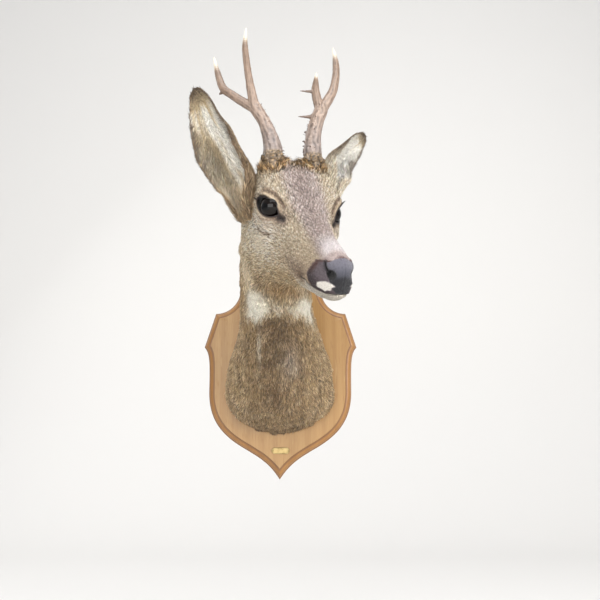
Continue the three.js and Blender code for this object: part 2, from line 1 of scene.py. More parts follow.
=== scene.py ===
# A roe deer shoulder mount: a buck's head and neck on a carved oak shield that hangs on a wall.
# The file follows the order of the work: board, plate, skin, eyes, coat, antlers.
# Tables are in millimetres, the meshes in metres.
import math
import bpy
import numpy as np
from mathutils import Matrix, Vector


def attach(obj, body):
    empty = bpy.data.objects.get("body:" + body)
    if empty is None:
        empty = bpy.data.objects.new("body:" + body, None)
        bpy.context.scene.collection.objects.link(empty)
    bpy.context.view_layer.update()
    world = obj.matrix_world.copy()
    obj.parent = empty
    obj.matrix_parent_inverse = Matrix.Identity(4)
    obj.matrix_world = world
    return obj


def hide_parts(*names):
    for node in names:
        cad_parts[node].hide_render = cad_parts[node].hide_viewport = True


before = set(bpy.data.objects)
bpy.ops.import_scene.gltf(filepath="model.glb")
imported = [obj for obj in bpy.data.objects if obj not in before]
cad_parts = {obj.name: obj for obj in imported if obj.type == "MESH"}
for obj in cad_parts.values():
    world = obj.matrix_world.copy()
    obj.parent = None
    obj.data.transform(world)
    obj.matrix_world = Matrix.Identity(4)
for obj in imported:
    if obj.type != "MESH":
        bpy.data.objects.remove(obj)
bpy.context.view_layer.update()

# ---- The room: a pale floor that sweeps up behind, one wide soft lamp above and in front, two
# weaker ones, and an even pale surround. The camera stands low in front and looks up.
CAMERA_AT = (25.7, -927.6, -99.2)
CAMERA_LIFT = 11.534  # degrees above level
LENS = 42.0
FLOOR_LEVEL, WALL_DISTANCE, SWEEP_RADIUS = -0.42, 2.1, 0.9
LAMPS = (  # name, place, aim, size, watts, colour
    ("sky_lamp", (0.25, -1.5, 2.0), (0.02, -0.2, 0.12), 2.2, 56.0, (0.98, 0.99, 1.0)),
    ("side_lamp", (1.6, -1.6, 0.35), (0.0, -0.2, 0.05), 1.2, 30.0, (1.0, 0.98, 0.95)),
    ("front_lamp", (-0.5, -2.2, -0.1), (0.0, -0.2, 0.05), 1.5, 30.0, (1.0, 0.98, 0.95)),
    ("back_lamp", (-1.4, 0.9, 1.3), (0.0, -0.1, 0.1), 1.4, 9.0, (1.0, 1.0, 1.0)),
)
SURROUND = (0.90, 0.90, 0.92)
SURROUND_STRENGTH = 0.56

scene = bpy.context.scene
scene.view_settings.view_transform = "Standard"
camera = bpy.data.objects.new("camera", bpy.data.cameras.new("camera"))
camera.data.lens = LENS
camera.data.sensor_width = 36.0
camera.data.clip_start = 0.01
camera.location = Vector(CAMERA_AT) * 0.001
camera.rotation_euler = (math.radians(90.0 + CAMERA_LIFT), 0.0, 0.0)
scene.collection.objects.link(camera)
scene.camera = camera
for name, place, aim, size, watts, colour in LAMPS:
    lamp = bpy.data.objects.new(name, bpy.data.lights.new(name, "AREA"))
    lamp.data.size = size
    lamp.data.energy = watts
    lamp.data.color = colour
    lamp.location = place
    lamp.rotation_euler = (Vector(aim) - Vector(place)).to_track_quat("-Z", "Y").to_euler()
    scene.collection.objects.link(lamp)
scene.world = bpy.data.worlds.new("surround")
scene.world.use_nodes = True
scene.world.node_tree.nodes["Background"].inputs["Color"].default_value = (*SURROUND, 1.0)
scene.world.node_tree.nodes["Background"].inputs["Strength"].default_value = SURROUND_STRENGTH


class Wire:
    """A node's output that takes part in sums: every operator adds one Math node."""

    def __init__(self, finish, output):
        self.finish, self.output = finish, output

    def math(self, operation, *terms):
        """One Math node on the terms."""
        return self.finish.add("ShaderNodeMath", {"operation": operation}, dict(enumerate(terms)))

    def __add__(self, other):
        return self.math("ADD", self, other)

    def __sub__(self, other):
        return self.math("SUBTRACT", self, other)

    def __rsub__(self, other):
        return self.math("SUBTRACT", other, self)

    def __mul__(self, other):
        return self.math("MULTIPLY", self, other)

    __radd__, __rmul__ = __add__, __mul__

    def sine(self):
        return self.math("SINE", self)

    def step(self, low, high):
        """0 below low, 1 above high and a smooth rise between."""
        inputs = {"Value": self, "From Min": low, "From Max": high}
        return self.finish.add("ShaderNodeMapRange", {"interpolation_type": "SMOOTHSTEP"}, inputs)


class Finish:
    """A material put together from nodes: `add` takes a node's type, settings and inputs."""

    def __init__(self, name, **constants):
        self.material = bpy.data.materials.new(name)
        self.material.use_nodes = True
        self.nodes = self.material.node_tree.nodes
        self.shader = self.nodes["Principled BSDF"]
        self.paint(**constants)

    def feed(self, socket, value):
        """Links a wire to a socket, or sets it to a plain value or colour."""
        if isinstance(value, Wire):
            self.material.node_tree.links.new(value.output, socket)
        else:
            socket.default_value = (*value, 1.0) if socket.type == "RGBA" else value

    def add(self, kind, settings=None, inputs=None, out=0):
        """One node; returns its output of the given number."""
        node = self.nodes.new(kind)
        for key, value in (settings or {}).items():
            setattr(node, key, value)
        for key, value in (inputs or {}).items():
            self.feed(node.inputs[key], value)
        return Wire(self, node.outputs[out])

    def place(self, scale=(1.0, 1.0, 1.0), turn=(0.0, 0.0, 0.0)):
        """The point on the piece, stretched and turned."""
        here = self.add("ShaderNodeTexCoord", out="Object")
        return self.add("ShaderNodeMapping", None, {"Vector": here, "Scale": scale, "Rotation": turn})

    def noise(self, vector, scale=1.0, detail=2.0, roughness=0.5):
        """Cloudy noise between 0 and 1 about one half."""
        inputs = {"Vector": vector, "Scale": scale, "Detail": detail, "Roughness": roughness}
        return self.add("ShaderNodeTexNoise", None, inputs)

    def mix(self, share, first, second, blend="MIX"):
        """From the first colour to the second by a share."""
        settings = {"data_type": "RGBA", "blend_type": blend}
        return self.add("ShaderNodeMix", settings, {0: share, 6: first, 7: second}, out=2)

    def bump(self, height, distance, strength):
        """A normal tilted by the slope of a height."""
        inputs = {"Height": height, "Distance": distance, "Strength": strength}
        return self.add("ShaderNodeBump", None, inputs)

    def paint(self, **parts):
        """Feeds the shader's sockets by name and returns the material."""
        for key, value in parts.items():
            self.feed(self.shader.inputs[key.replace("_", " ")], value)
        return self.material


def write_points(mesh, points):
    """Sets every vertex from points in millimetres."""
    mesh.vertices.foreach_set("co", (points * 0.001).astype(np.float32).ravel())


def mesh_piece(name, points, face_sets, material):
    """A mesh of points in millimetres and arrays of faces, one array for each count of corners."""
    mesh = bpy.data.meshes.new(name)
    corners = np.concatenate([faces.ravel() for faces in face_sets]).astype(np.int32)
    counts = np.concatenate([np.full(len(faces), faces.shape[1]) for faces in face_sets])
    mesh.vertices.add(len(points))
    write_points(mesh, points)
    mesh.loops.add(len(corners))
    mesh.loops.foreach_set("vertex_index", corners)
    mesh.polygons.add(len(counts))
    mesh.polygons.foreach_set("loop_start", (np.cumsum(counts) - counts).astype(np.int32))
    mesh.update(calc_edges=True)
    mesh.validate()
    mesh.polygons.foreach_set("use_smooth", np.full(len(counts), True))
    mesh.materials.append(material)
    made = bpy.data.objects.new(name, mesh)
    scene.collection.objects.link(made)
    return made


def grid_faces(rows, columns, start=0, closed=True):
    """Four-cornered faces between rows of points; a closed grid joins its last column to the first."""
    i, j = np.meshgrid(np.arange(rows - 1), np.arange(columns if closed else columns - 1), indexing="ij")
    here, beside = i * columns + j, i * columns + (j + 1) % columns
    return start + np.stack([here, beside, beside + columns, here + columns], -1).reshape(-1, 4)


sweep = np.linspace(0, math.pi / 2, 17)
floor_line = np.array(
    [(-4.0, FLOOR_LEVEL)]
    + [
        (WALL_DISTANCE - SWEEP_RADIUS * (1 - math.sin(a)), FLOOR_LEVEL + SWEEP_RADIUS * (1 - math.cos(a)))
        for a in sweep
    ]
    + [(WALL_DISTANCE, 4.0)]
)
sides = np.linspace(-5.0, 5.0, 5)
floor_points = np.stack([
    np.tile(sides, (len(floor_line), 1)),
    np.tile(floor_line[:, :1], (1, len(sides))),
    np.tile(floor_line[:, 1:], (1, len(sides))),
], -1)
chalk = Finish("pale_floor", Base_Color=(0.80, 0.79, 0.77), Roughness=0.9).material
floor = mesh_piece(
    "floor", floor_points.reshape(-1, 3) * 1000.0, [grid_faces(*floor_points.shape[:2], closed=False)], chalk
)

# ---- The shield: one board of pale oak, 20 mm thick, sawn to an outline with two spikes and two
# scooped upper corners. A rounded moulding with a small step runs round its front edge.
BOARD_THICKNESS = 20.0
BOARD_HEART = (0.0, 40.0)  # a point inside from which every edge point is in sight
SPIKE, CORNER, SCOOP = (100.0, 24.0), (86.0, 69.0), 32.0
WAIST, TIP, PEAK = 92.5, -145.0, 145.0
MOULDING = (  # depth in front of the back, margin in from the outline
    (0.0, 0.9), (0.25, 0.25), (0.9, 0.0), (10.4, 0.0), (10.85, 0.15), (11.1, 0.5), (11.25, 1.3),
)
OVOLO_START, OVOLO_DEPTH, OVOLO_WIDTH = 11.4, 6.2, 6.6


def bezier(points, count):
    """Points along a curve of any degree: each pass draws every pair of handles together by t."""
    t = np.linspace(0, 1, count, endpoint=False)[:, None, None]
    line = np.array(points, float)[None] * np.ones_like(t)
    while line.shape[1] > 1:
        line = line[:, :-1] * (1 - t) + line[:, 1:] * t
    return line[:, 0]


def shield_outline():
    """The right half from the tip to the peak by curves and one scoop, then its mirror image."""
    scoop_turn = np.radians(np.linspace(-90, -180, 26, endpoint=False))[:, None]
    scoop_ways = np.hstack([np.cos(scoop_turn), np.sin(scoop_turn)])
    scoop = np.array([CORNER[0], CORNER[1] + SCOOP]) + SCOOP * scoop_ways
    half = np.vstack([
        bezier([(0, TIP), (13, TIP + 20), (26, TIP + 27), (41, TIP + 36)], 22),
        bezier([(41, TIP + 36), (70, TIP + 52), (WAIST, TIP + 70), (WAIST, TIP + 112)], 34),
        bezier([(WAIST, TIP + 112), (WAIST, 6), (WAIST + 0.5, 16), SPIKE], 22),
        bezier([SPIKE, (WAIST, 48), CORNER], 18),
        scoop,
        bezier([(54, 101), (53, 108)], 4),
        bezier([(53, 108), (48, 128), (20, 125), (0, PEAK)], 26),
        [(0, PEAK)],
    ])
    return np.vstack([half, half[-2:0:-1] * (-1, 1)])


def drawn_in(outline, heart, margins, rays=720, passes=14):
    """For each margin, the ring of points on rays from the heart whose distance from the outline is
    that margin. A ray starts where it crosses the outline and steps inwards by what it still lacks."""
    start = np.vstack([outline, outline[:1]]) - heart
    runs = np.diff(start, axis=0)
    spread = np.unwrap(np.arctan2(start[:, 1], start[:, 0]))
    headings = np.unwrap(np.arctan2(runs[:, 1], runs[:, 0]))
    corners = spread[:-1][np.abs(np.diff(headings, prepend=headings[-1] - 2 * math.pi)) > 0.2]
    even = np.linspace(spread[0], spread[-1], rays, endpoint=False)
    turn = np.unique(np.round(np.concatenate([even, corners]), 5))
    along = np.stack([np.cos(turn), np.sin(turn)], -1)
    k = np.clip(np.searchsorted(spread, turn + 1e-7, side="right") - 1, 0, len(runs) - 1)
    crossing = (start[k, 0] * runs[k, 1] - start[k, 1] * runs[k, 0])
    crossing = crossing / (along[:, 0] * runs[k, 1] - along[:, 1] * runs[k, 0])
    rings = []
    for margin in margins:
        reach = crossing.copy()
        for _ in range(passes if margin > 0 else 0):
            gap = (along * reach[:, None])[:, None] - start[None, :-1]
            x = np.clip((gap * runs).sum(-1) / (runs * runs).sum(-1), 0, 1)
            far = np.linalg.norm(gap - x[..., None] * runs, axis=-1).min(1)
            reach -= (margin - far) * 0.9
        rings.append(along * reach[:, None] + heart)
    return rings


def fan_faces(ring, hub, flip=False):
    """Three-cornered faces from a ring of points to one hub."""
    after = np.roll(ring, -1)
    pair = (after, ring) if flip else (ring, after)
    return np.stack([*pair, np.full(len(ring), hub)], -1)


def closed_faces(rows, columns):
    """Faces of a closed grid and of the fans at its two ends, whose hubs come after the grid's points."""
    ring, hub = np.arange(columns), rows * columns
    fans = np.vstack([fan_faces(ring, hub, True), fan_faces(hub - columns + ring, hub + 1)])
    return grid_faces(rows, columns), fans


def board_piece(name, outline, levels, heart, front, material):
    """A flat piece with a moulded edge: the outline's rings at each (depth, margin), and on the back
    and the front rings that shrink to the heart. Depth is measured from y = `front` towards -y."""
    inner = drawn_in(outline, np.array(heart), [margin for _, margin in levels])
    edge = [np.insert(ring, 1, front - depth, axis=1) for ring, (depth, _) in zip(inner, levels)]
    heart = np.array([heart[0], 0.0, heart[1]])
    shares = (0.8, 0.55, 0.3, 0.08)
    level_heart = [heart + (0, ring[0, 1], 0) for ring in edge]
    back = [level_heart[0] + (edge[0] - level_heart[0]) * share for share in shares[::-1]]
    face = [level_heart[-1] + (edge[-1] - level_heart[-1]) * share for share in shares]
    rings = np.array([*back, *edge, *face])
    points = np.vstack([rings.reshape(-1, 3), level_heart[0], level_heart[-1]])
    return mesh_piece(name, points, closed_faces(*rings.shape[:2]), material)


def shade_flat_over(piece, degrees):
    """Keeps edges sharper than an angle crisp and shades the rest smooth."""
    piece.data.set_sharp_from_angle(angle=math.radians(degrees))


DISPLAY_POWER = 2.2  # between display values and linear light


def rgb(*parts):
    """Linear colour from display values 0-255."""
    return tuple((np.array(parts) / 255.0) ** DISPLAY_POWER)


oak = Finish("oak_satin", Roughness=0.42, IOR=1.5, Coat_Weight=0.18, Coat_Roughness=0.25)
across, inwards = (oak.add("ShaderNodeSeparateXYZ", None, {0: oak.place()}, out=k) for k in range(2))
figure = oak.noise(oak.place((16, 16, 2.2)), 1.0, 3.0, 0.55)
growth = ((across * 330.0 + figure * 16.0).sine() * 0.5 + 0.5).step(0.1, 0.95)
streaks = oak.noise(oak.place((520, 520, 16)), 1.0, 3.0, 0.6)
pores = oak.noise(oak.place((1500, 1500, 60)), 1.0, 1.0, 0.5).step(0.60, 0.74)
flecks = oak.noise(oak.place((260, 260, 42), (0.0, 0.12, 0.0)), 1.0, 1.0, 0.5).step(0.66, 0.76)
tone = oak.mix(growth * 0.4 + streaks.step(0.3, 0.75) * 0.4, rgb(158, 123, 75), rgb(138, 102, 56))
tone = oak.mix(oak.noise(oak.place((7, 7, 5)), 1.0, 2.0).step(0.35, 0.7) * 0.35, tone, rgb(160, 119, 70))
tone = oak.mix(pores * 0.5, tone, rgb(120, 82, 50))
tone = oak.mix(flecks * 0.3, tone, rgb(175, 142, 92))
moulded = (inwards + BOARD_THICKNESS * 0.001).step(0.0007, 0.0011)  # stained darker than the face
# painted shade: a dark line in the small step of the moulding and another along its outer edge, where shade
# falls
quirk_shade = moulded * (1 - (inwards + BOARD_THICKNESS * 0.001).step(0.0022, 0.0032))
lip_edge_shade = inwards.step(-0.0124, -0.0118) * (1 - inwards.step(-0.0112, -0.0106))
tone = oak.mix(moulded * 0.6, tone, oak.mix(1.0, tone, rgb(234, 204, 164), "MULTIPLY"))
tone = oak.mix(quirk_shade * 0.75 + lip_edge_shade * 0.55, tone, rgb(96, 60, 34))
oak.paint(
    Base_Color=tone,
    Roughness=0.38 + pores * 0.2 + streaks * 0.08,
    Normal=oak.bump(streaks * 0.5 + (1 - pores) * 0.5, 0.0003, 0.5),
)
ovolo = [
    (OVOLO_START + OVOLO_DEPTH * math.sin(a), 1.3 + OVOLO_WIDTH * (1 - math.cos(a)))
    for a in np.radians(np.linspace(4, 88, 12))
]
quirk_foot = ovolo[-1][1] + 0.25
step_up = [(ovolo[-1][0] + 0.05, quirk_foot), (BOARD_THICKNESS - 0.25, quirk_foot + 0.1),
           (BOARD_THICKNESS, quirk_foot + 0.4)]
board_profile = [*MOULDING, *ovolo, *step_up]
shield = board_piece("oak_shield", shield_outline(), board_profile, BOARD_HEART, 0.0, oak.material)
shade_flat_over(shield, 32)
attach(shield, "root")
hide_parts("shield")

# ---- The name plate: a slip of thin brass with scalloped corners and a rolled edge, left bare,
# and the two domed brass pins that hold it under the neck.
PLATE_SIZE, PLATE_AT, SCALLOP = (23.0, 8.0), (1.2, -109.0), 2.2
PLATE_BACK = -20.3
PIN_RADIUS, PIN_INSET, PIN_BACK, PIN_HEIGHT = 0.8, 1.9, -21.4, 0.9
SIDES = ((-1, "right"), (1, "left"))

brass = Finish("brass_aged", Metallic=1.0, Roughness=0.34, Base_Color=rgb(214, 190, 128))
tarnish = brass.noise(brass.place((160, 160, 160)), 1.0, 4.0, 0.6)
brushing = brass.noise(brass.place((120, 120, 2600)), 1.0, 1.0, 0.5)
brass.paint(
    Base_Color=brass.mix(tarnish.step(0.42, 0.72) * 0.6, rgb(170, 150, 106), rgb(116, 96, 64)),
    Roughness=0.36 + tarnish * 0.22,
    Normal=brass.bump(brushing + tarnish * 0.4, 0.00006, 0.6),
)


def plate_outline():
    """A rectangle whose corners are cut by quarter circles centred on them."""
    w, h = PLATE_SIZE[0] / 2, PLATE_SIZE[1] / 2
    corners = []
    for x, z, start in ((w, -h, 180), (w, h, 270), (-w, h, 0), (-w, -h, 90)):
        turn = np.radians(np.linspace(start, start - 90, 9))
        corners.append(np.stack([x + SCALLOP * np.cos(turn), z + SCALLOP * np.sin(turn)], -1))
    return np.vstack(corners) + PLATE_AT


rolled = [(0, 0.1), (0.15, 0), (0.5, 0), (0.72, 0.12), (0.8, 0.4), (0.76, 0.75), (0.6, 0.95), (0.58, 1.3)]
plate = board_piece("brass_plate", plate_outline(), rolled, PLATE_AT, PLATE_BACK, brass.material)
shade_flat_over(plate, 50)
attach(plate, "root")
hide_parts("name_plate")


def turned_piece(name, profile, centre, material, count=24):
    """A turned piece: (radius, depth towards -y) carried round the y axis through a centre."""
    turn = np.linspace(0, 2 * math.pi, count, endpoint=False)
    radius, depth = np.array(profile, float).T
    points = np.stack([
        centre[0] + radius[:, None] * np.cos(turn),
        centre[1] - depth[:, None] * np.ones_like(turn),
        centre[2] + radius[:, None] * np.sin(turn),
    ], -1)
    corners = np.vstack([points.reshape(-1, 3), points[0].mean(0), points[-1].mean(0)])
    return mesh_piece(name, corners, closed_faces(len(profile), count), material)


dome = [
    (PIN_RADIUS * math.cos(a), 0.35 + (PIN_HEIGHT - 0.35) * math.sin(a))
    for a in np.radians((0, 20, 40, 60, 78))
]
for side, label in SIDES:
    centre = (PLATE_AT[0] + side * (PLATE_SIZE[0] / 2 - PIN_INSET), PIN_BACK, PLATE_AT[1])
    profile = [(PIN_RADIUS * 0.8, 0.0), (PIN_RADIUS, 0.1), *dome]
    pin = turned_piece(f"brass_pin_{label}", profile, centre, brass.material)
    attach(pin, "root")
    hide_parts(f"plate_pin_{label}")

# ---- The skin: tanned hide over a shaped form, one surface from the board to the nose, with the
# ears sewn on. It follows sections strung along the neck and head, lies under the tips of the coat
# by the coat's depth, and takes the folds, lids, nostrils and lips of the face.
NECK = np.array([  # nape y, z, throat y, z, sideways drift of both, half width, level, roundness, turn
    (-20.3, 95, -20.3, -90, 0, 0, 70.5, -0.49, 1.8, 1.8, 0),
    (-50, 102, -45, -83, 0, 0, 69, -0.46, 1.6, 2.0, 0),
    (-86, 114, -82, -59, -0.5, -0.5, 53.5, -0.35, 1.7, 2.0, 0),
    (-118, 128, -120, -26, -1.5, -1, 44.5, -0.2, 1.85, 2.1, 0.1),
    (-150, 144, -158, 14, -2, -2, 42, -0.08, 1.9, 2.0, 0.28),
    (-180, 160, -190, 44, -1, 0, 40.5, 0, 2.0, 2.0, 0.52),
    (-206, 175, -206, 60, 2.5, 5.5, 44, 0, 2.0, 2.0, 0.8),
])
HEAD = np.array([  # top and underside (forward, up), half width, level of the widest part, roundness
    (-64, 30, -1.5, -79, 45, 0.05, 2.0, 2.0),
    (-48, 37, 4, -77, 45.5, 0.15, 2.1, 2.0),
    (-32, 39.5, 10, -75.5, 44.5, 0.25, 2.2, 1.9),
    (-16, 35, 17, -74, 45.5, 0.32, 2.2, 1.8),
    (-1, 28, 24, -72, 41.5, 0.35, 2.2, 1.75),
    (13, 22, 32, -70, 32.5, 0.3, 2.0, 1.8),
    (30, 14.5, 43, -67, 26.5, 0.12, 1.8, 1.9),
    (48, 7.5, 56, -63.5, 24, -0.05, 1.7, 2.1),
    (66, 1.5, 69, -61, 21, -0.15, 1.7, 2.2),
    (82, -3.5, 82, -59.5, 18.7, -0.12, 1.9, 2.2),
    (95, -8, 92, -57.8, 16.4, 0, 2.0, 2.2),
    (105.5, -11, 102, -55, 13.2, 0.1, 1.85, 2.2),
    (113, -15, 110, -51.5, 10.8, 0.15, 1.9, 2.2),
    (116.7, -21.5, 115, -46.2, 8.2, 0.1, 1.9, 2.2),
    (117.8, -30, 117.5, -37, 1.2, 0, 2.0, 2.0),
])
SWELLINGS = (  # middle, reach and push as (forward, sideways, up), alike on both sides
    ((4, 38, 19), (17, 14, 8), (0, 3.5, 3)),  # brow
    ((9, 36, 3), (14, 16, 10), (0, -3.5, 0)),  # set-in of the eye
    ((30, 24, 2), (11, 12, 7), (0, -3, 0)),  # pit before the eye
    ((-18, 38, -44), (26, 30, 24), (0, 2.5, 0)),  # cheek
    ((4, 38, -17), (14, 16, 6), (0, 1, 0)),  # pouch under the eye
    ((92, 16, -38), (15, 12, 9), (0, 2.5, 0)),  # upper lip
    ((103, 12, -20), (8, 8, 8), (1, 1.5, 0.5)),  # nostril wing
    ((-33, 24, 32), (18, 21, 18), (-1, 2, 13.5)),  # bone under the antler
    ((-54, 46, 12), (17, 22, 17), (-3, 12, 4)),  # root of the ear
)
HEAD_YAW, HEAD_PITCH, HEAD_ROLL = 24.0, 32.0, 6.5
LEFT_EYE_DROP = 5.5  # the left eye is set lower than the right
BETWEEN_EYES = np.array([26.8, -259.6, 126.4])
LAST = len(NECK) + len(HEAD) - 1
ROW_BANDS = ((0, 84), (6.4, 40), (9.2, 84), (12.6, 44), (16.4, 92), (LAST, 0))  # from station, rows
SKIN_COLUMNS = 264
COAT_DEPTH = (  # station, millimetres of coat over the skin
    (0, 4.4), (4.0, 4.0), (6.2, 3.5), (8.0, 2.8), (10, 2.2), (13, 1.9), (15, 1.5), (17, 0.9),
    (18.5, 0.4), (21, 0.15),
)


def turned(axis, degrees):
    """Rotation by an angle about an axis: 1 + sin K + (1 - cos) K K, K being the cross product."""
    x, y, z = axis
    k = np.array([[0, -z, y], [z, 0, -x], [-y, x, 0]], float)
    a = math.radians(degrees)
    return np.eye(3) + math.sin(a) * k + (1 - math.cos(a)) * k @ k


HEAD_AXES = (  # columns: forward, to the deer's left, up
    turned((0, 0, 1), HEAD_YAW) @ turned((1, 0, 0), HEAD_PITCH) @ turned((0, 1, 0), -HEAD_ROLL)
    @ np.array([[0, 1, 0], [-1, 0, 0], [0, 0, 1.0]])
)


def from_head(points):
    """Head coordinates in millimetres (forward, to the deer's left, up) to the world."""
    return BETWEEN_EYES + np.asarray(points, float) @ HEAD_AXES.T


def into_head(points):
    """The world to head coordinates."""
    return (points - BETWEEN_EYES) @ HEAD_AXES


def unit(vectors):
    """The vectors at length one."""
    return vectors / np.maximum(np.linalg.norm(vectors, axis=-1, keepdims=True), 1e-9)


def across_part(vectors, axis):
    """What is left of the vectors at right angles to an axis, at length one."""
    return unit(vectors - (vectors * axis).sum(-1, keepdims=True) * axis)


def rise(value, low, high):
    """0 below low, 1 above high, 3x^2 - 2x^3 between."""
    x = np.clip((value - low) / (high - low), 0, 1)
    return x * x * (3 - 2 * x)


def hill(value, middle, reach):
    """A bell of height one."""
    return np.exp(-(((value - middle) / reach) ** 2))


def bell(points, middle, reach):
    """A bell in space: exp of minus the squared distance, each axis by its own reach."""
    return np.exp(-(((points - np.array(middle)) / np.array(reach)) ** 2).sum(-1))


def toned(colour, tint, share):
    """A colour moved towards another by a share."""
    return colour + (np.array(tint) - colour) * share[..., None]


def through(values, t):
    """Values through evenly spaced stations: the Catmull-Rom cubic of the four nearest."""
    values, t = np.asarray(values, float), np.asarray(t, float)
    last = len(values) - 1
    t = np.clip(t, 0, last)
    i = np.minimum(t.astype(int), last - 1)
    x = (t - i).reshape(t.shape + (1,) * (values.ndim - 1))
    a, b, c, d = (values[np.clip(i + k, 0, last)] for k in (-1, 0, 1, 2))
    return 0.5 * (2 * b + (c - a) * x + (2 * a - 5 * b + 4 * c - d) * x**2 + (3 * b - a - 3 * c + d) * x**3)


def ripple(points, size, seed, waves=14):
    """Even, patternless waviness between about -1 and 1: sines along random directions whose
    wave lengths lie round the given size."""
    draw = np.random.default_rng(seed)
    ways = unit(draw.normal(size=(waves, 3))) * (2 * math.pi / (size * draw.uniform(0.7, 1.5, (waves, 1))))
    shifts = draw.uniform(0, 2 * math.pi, waves)
    flat = points.reshape(-1, 3)
    return (np.sin(flat @ ways.T + shifts).sum(1) / math.sqrt(waves)).reshape(points.shape[:-1])


over = np.vstack([NECK[:, [4, 0, 1]], from_head(np.insert(HEAD[:, :2], 1, 0, axis=1))])
under = np.vstack([NECK[:, [5, 2, 3]], from_head(np.insert(HEAD[:, 2:4], 1, 0, axis=1))])
leaning = unit(NECK[:, 10:] * HEAD_AXES[:, 1] + (1 - NECK[:, 10:]) * np.array([1.0, 0, 0]))
sideways = np.vstack([leaning, np.tile(HEAD_AXES[:, 1], (len(HEAD), 1))])
girth = np.vstack([NECK[:, 6:10], HEAD[:, 4:8]])


def mirrored(points):
    """Head coordinates with both sides folded onto the left, the left eye lifted to the right one."""
    folded = into_head(points)
    folded[..., 2] += LEFT_EYE_DROP * rise(folded[..., 1], 6, 18) * (1 - rise(np.abs(folded[..., 0]), 24, 52))
    folded[..., 1] = np.abs(folded[..., 1])
    return folded


def pushed(points, push, strength):
    """Moves points by a push in head coordinates, mirrored for the right side and faded at the middle."""
    side = np.tanh(into_head(points)[..., 1] / 6)
    away = strength[..., None] * np.array(push, float)
    away[..., 1] *= side
    return points + away @ HEAD_AXES.T


def body_form(t, a):
    """The outside of the coat at station t and angle a (0 on top, turning to the deer's left):
    a super-ellipse between the upper and lower line, moved by the swellings of the head."""
    t, a = np.broadcast_arrays(t, a)
    top, bottom, width_way = through(over, t), through(under, t), through(sideways, t)
    half, level, above, below = np.moveaxis(through(girth, t), -1, 0)
    reach = np.linalg.norm(top - bottom, axis=-1) / 2
    up = unit(top - bottom)
    s, c = np.sin(a), np.cos(a)
    power = 2 / np.where(c >= 0, above, below)
    side = half * np.sign(s) * np.abs(s) ** power
    share = np.abs(c) ** power
    height = np.where(c >= 0, level + (1 - level) * share, level - (1 + level) * share)
    aside = across_part(width_way, up) * side[..., None]
    points = (top + bottom) / 2 + aside + up * (height * reach)[..., None]
    folded = mirrored(points)
    shifts = np.zeros_like(points)
    for middle, size, push in SWELLINGS:
        shifts += bell(folded, middle, size)[..., None] * np.array(push, float)
    shifts[..., 1] *= np.tanh(into_head(points)[..., 1] / 6)
    return points + shifts @ HEAD_AXES.T


def grid_normals(points):
    """Outward directions of a grid that is closed across: the cross product of its two slopes."""
    along = np.gradient(points, axis=0)
    around = np.roll(points, -1, axis=1) - np.roll(points, 1, axis=1)
    return unit(np.cross(around, along))


# The eye's own plane: out of the socket, towards the nose, and up.
EYE_MIDDLE = np.array([-1.0, 30.0, 4.2])
EYE_OUT = unit(np.array([0.47, 0.86, 0.17]))
EYE_NOSEWARD = unit(np.array([0.86, -0.47, 0.0]))
EYE_UP = np.cross(EYE_NOSEWARD, EYE_OUT)
LID_REAR, LID_FRONT = (-15.0, 3.0), (13.8, -3.6)  # corners of the lids
UPPER_LID, LOWER_LID, LID_POWER = 8.6, 7.6, 1.5
LID_MIDDLE = ((LID_REAR[0] + LID_FRONT[0]) / 2, (LID_REAR[1] + LID_FRONT[1]) / 2)
LID_HALF = (LID_FRONT[0] - LID_REAR[0]) / 2
LID_SLOPE = (LID_FRONT[1] - LID_REAR[1]) / (2 * LID_HALF)


def eye_place(points):
    """Place in the eye's plane (towards the nose, up) and out of it, both eyes alike."""
    away = mirrored(points) - EYE_MIDDLE
    return away @ EYE_NOSEWARD, away @ EYE_UP, away @ EYE_OUT


def lid_distance(x, y):
    """Distance outside the almond between the lids, about: r - r / rho, rho being the super-ellipse
    (x^2 + |y|^1.5)^0.57 of the place measured in the almond's half lengths."""
    along = x - LID_MIDDLE[0]
    lift = y - LID_MIDDLE[1] - LID_SLOPE * along
    share = (along / LID_HALF) ** 2 + np.abs(lift / np.where(lift > 0, UPPER_LID, LOWER_LID)) ** LID_POWER
    r = np.hypot(along, lift)
    return r - r / np.maximum(share, 1e-6) ** 0.57


def line_distance(points, line):
    """Distance from points to a line of straight runs, and the share of the line at the nearest place."""
    line = np.array(line, float)
    best = np.full(points.shape[:-1], 1e9)
    share = np.zeros(points.shape[:-1])
    for k in range(len(line) - 1):
        run = line[k + 1] - line[k]
        x = np.clip((points - line[k]) @ run / (run @ run), 0, 1)
        gap = np.linalg.norm(points - line[k] - x[..., None] * run, axis=-1)
        nearer = gap < best
        best, share = np.where(nearer, gap, best), np.where(nearer, (k + x) / (len(line) - 1), share)
    return best, share


# Lines of the face, in head coordinates of one side.
MOUTH = [(57, 21, -46.5), (66, 20.3, -45.2), (74, 19.5, -44.6), (87.6, 17.4, -46.4), (98.7, 14.3, -47.0),
         (107, 11.5, -45.8), (113, 7, -45.0), (116, 3, -44.4), (117, 0, -44.2)]
NOSTRIL_SLIT = [(101.5, 13.4, -18.0), (104.8, 13.4, -21.2), (108.6, 12.6, -24.6), (112.2, 10.8, -27.2)]
NOSTRIL, NOSTRIL_REACH = (112.4, 10.7, -27.2), (5.4, 4.8, 4.2)
LIP_SPOT, LIP_SPOT_REACH, LIP_SPOT_SLOPE = (106.6, 12.5, -38.7), (11.8, 8.6, 4.7), 0.24
FAR = 40.0  # stands in for a distance, away from the eye
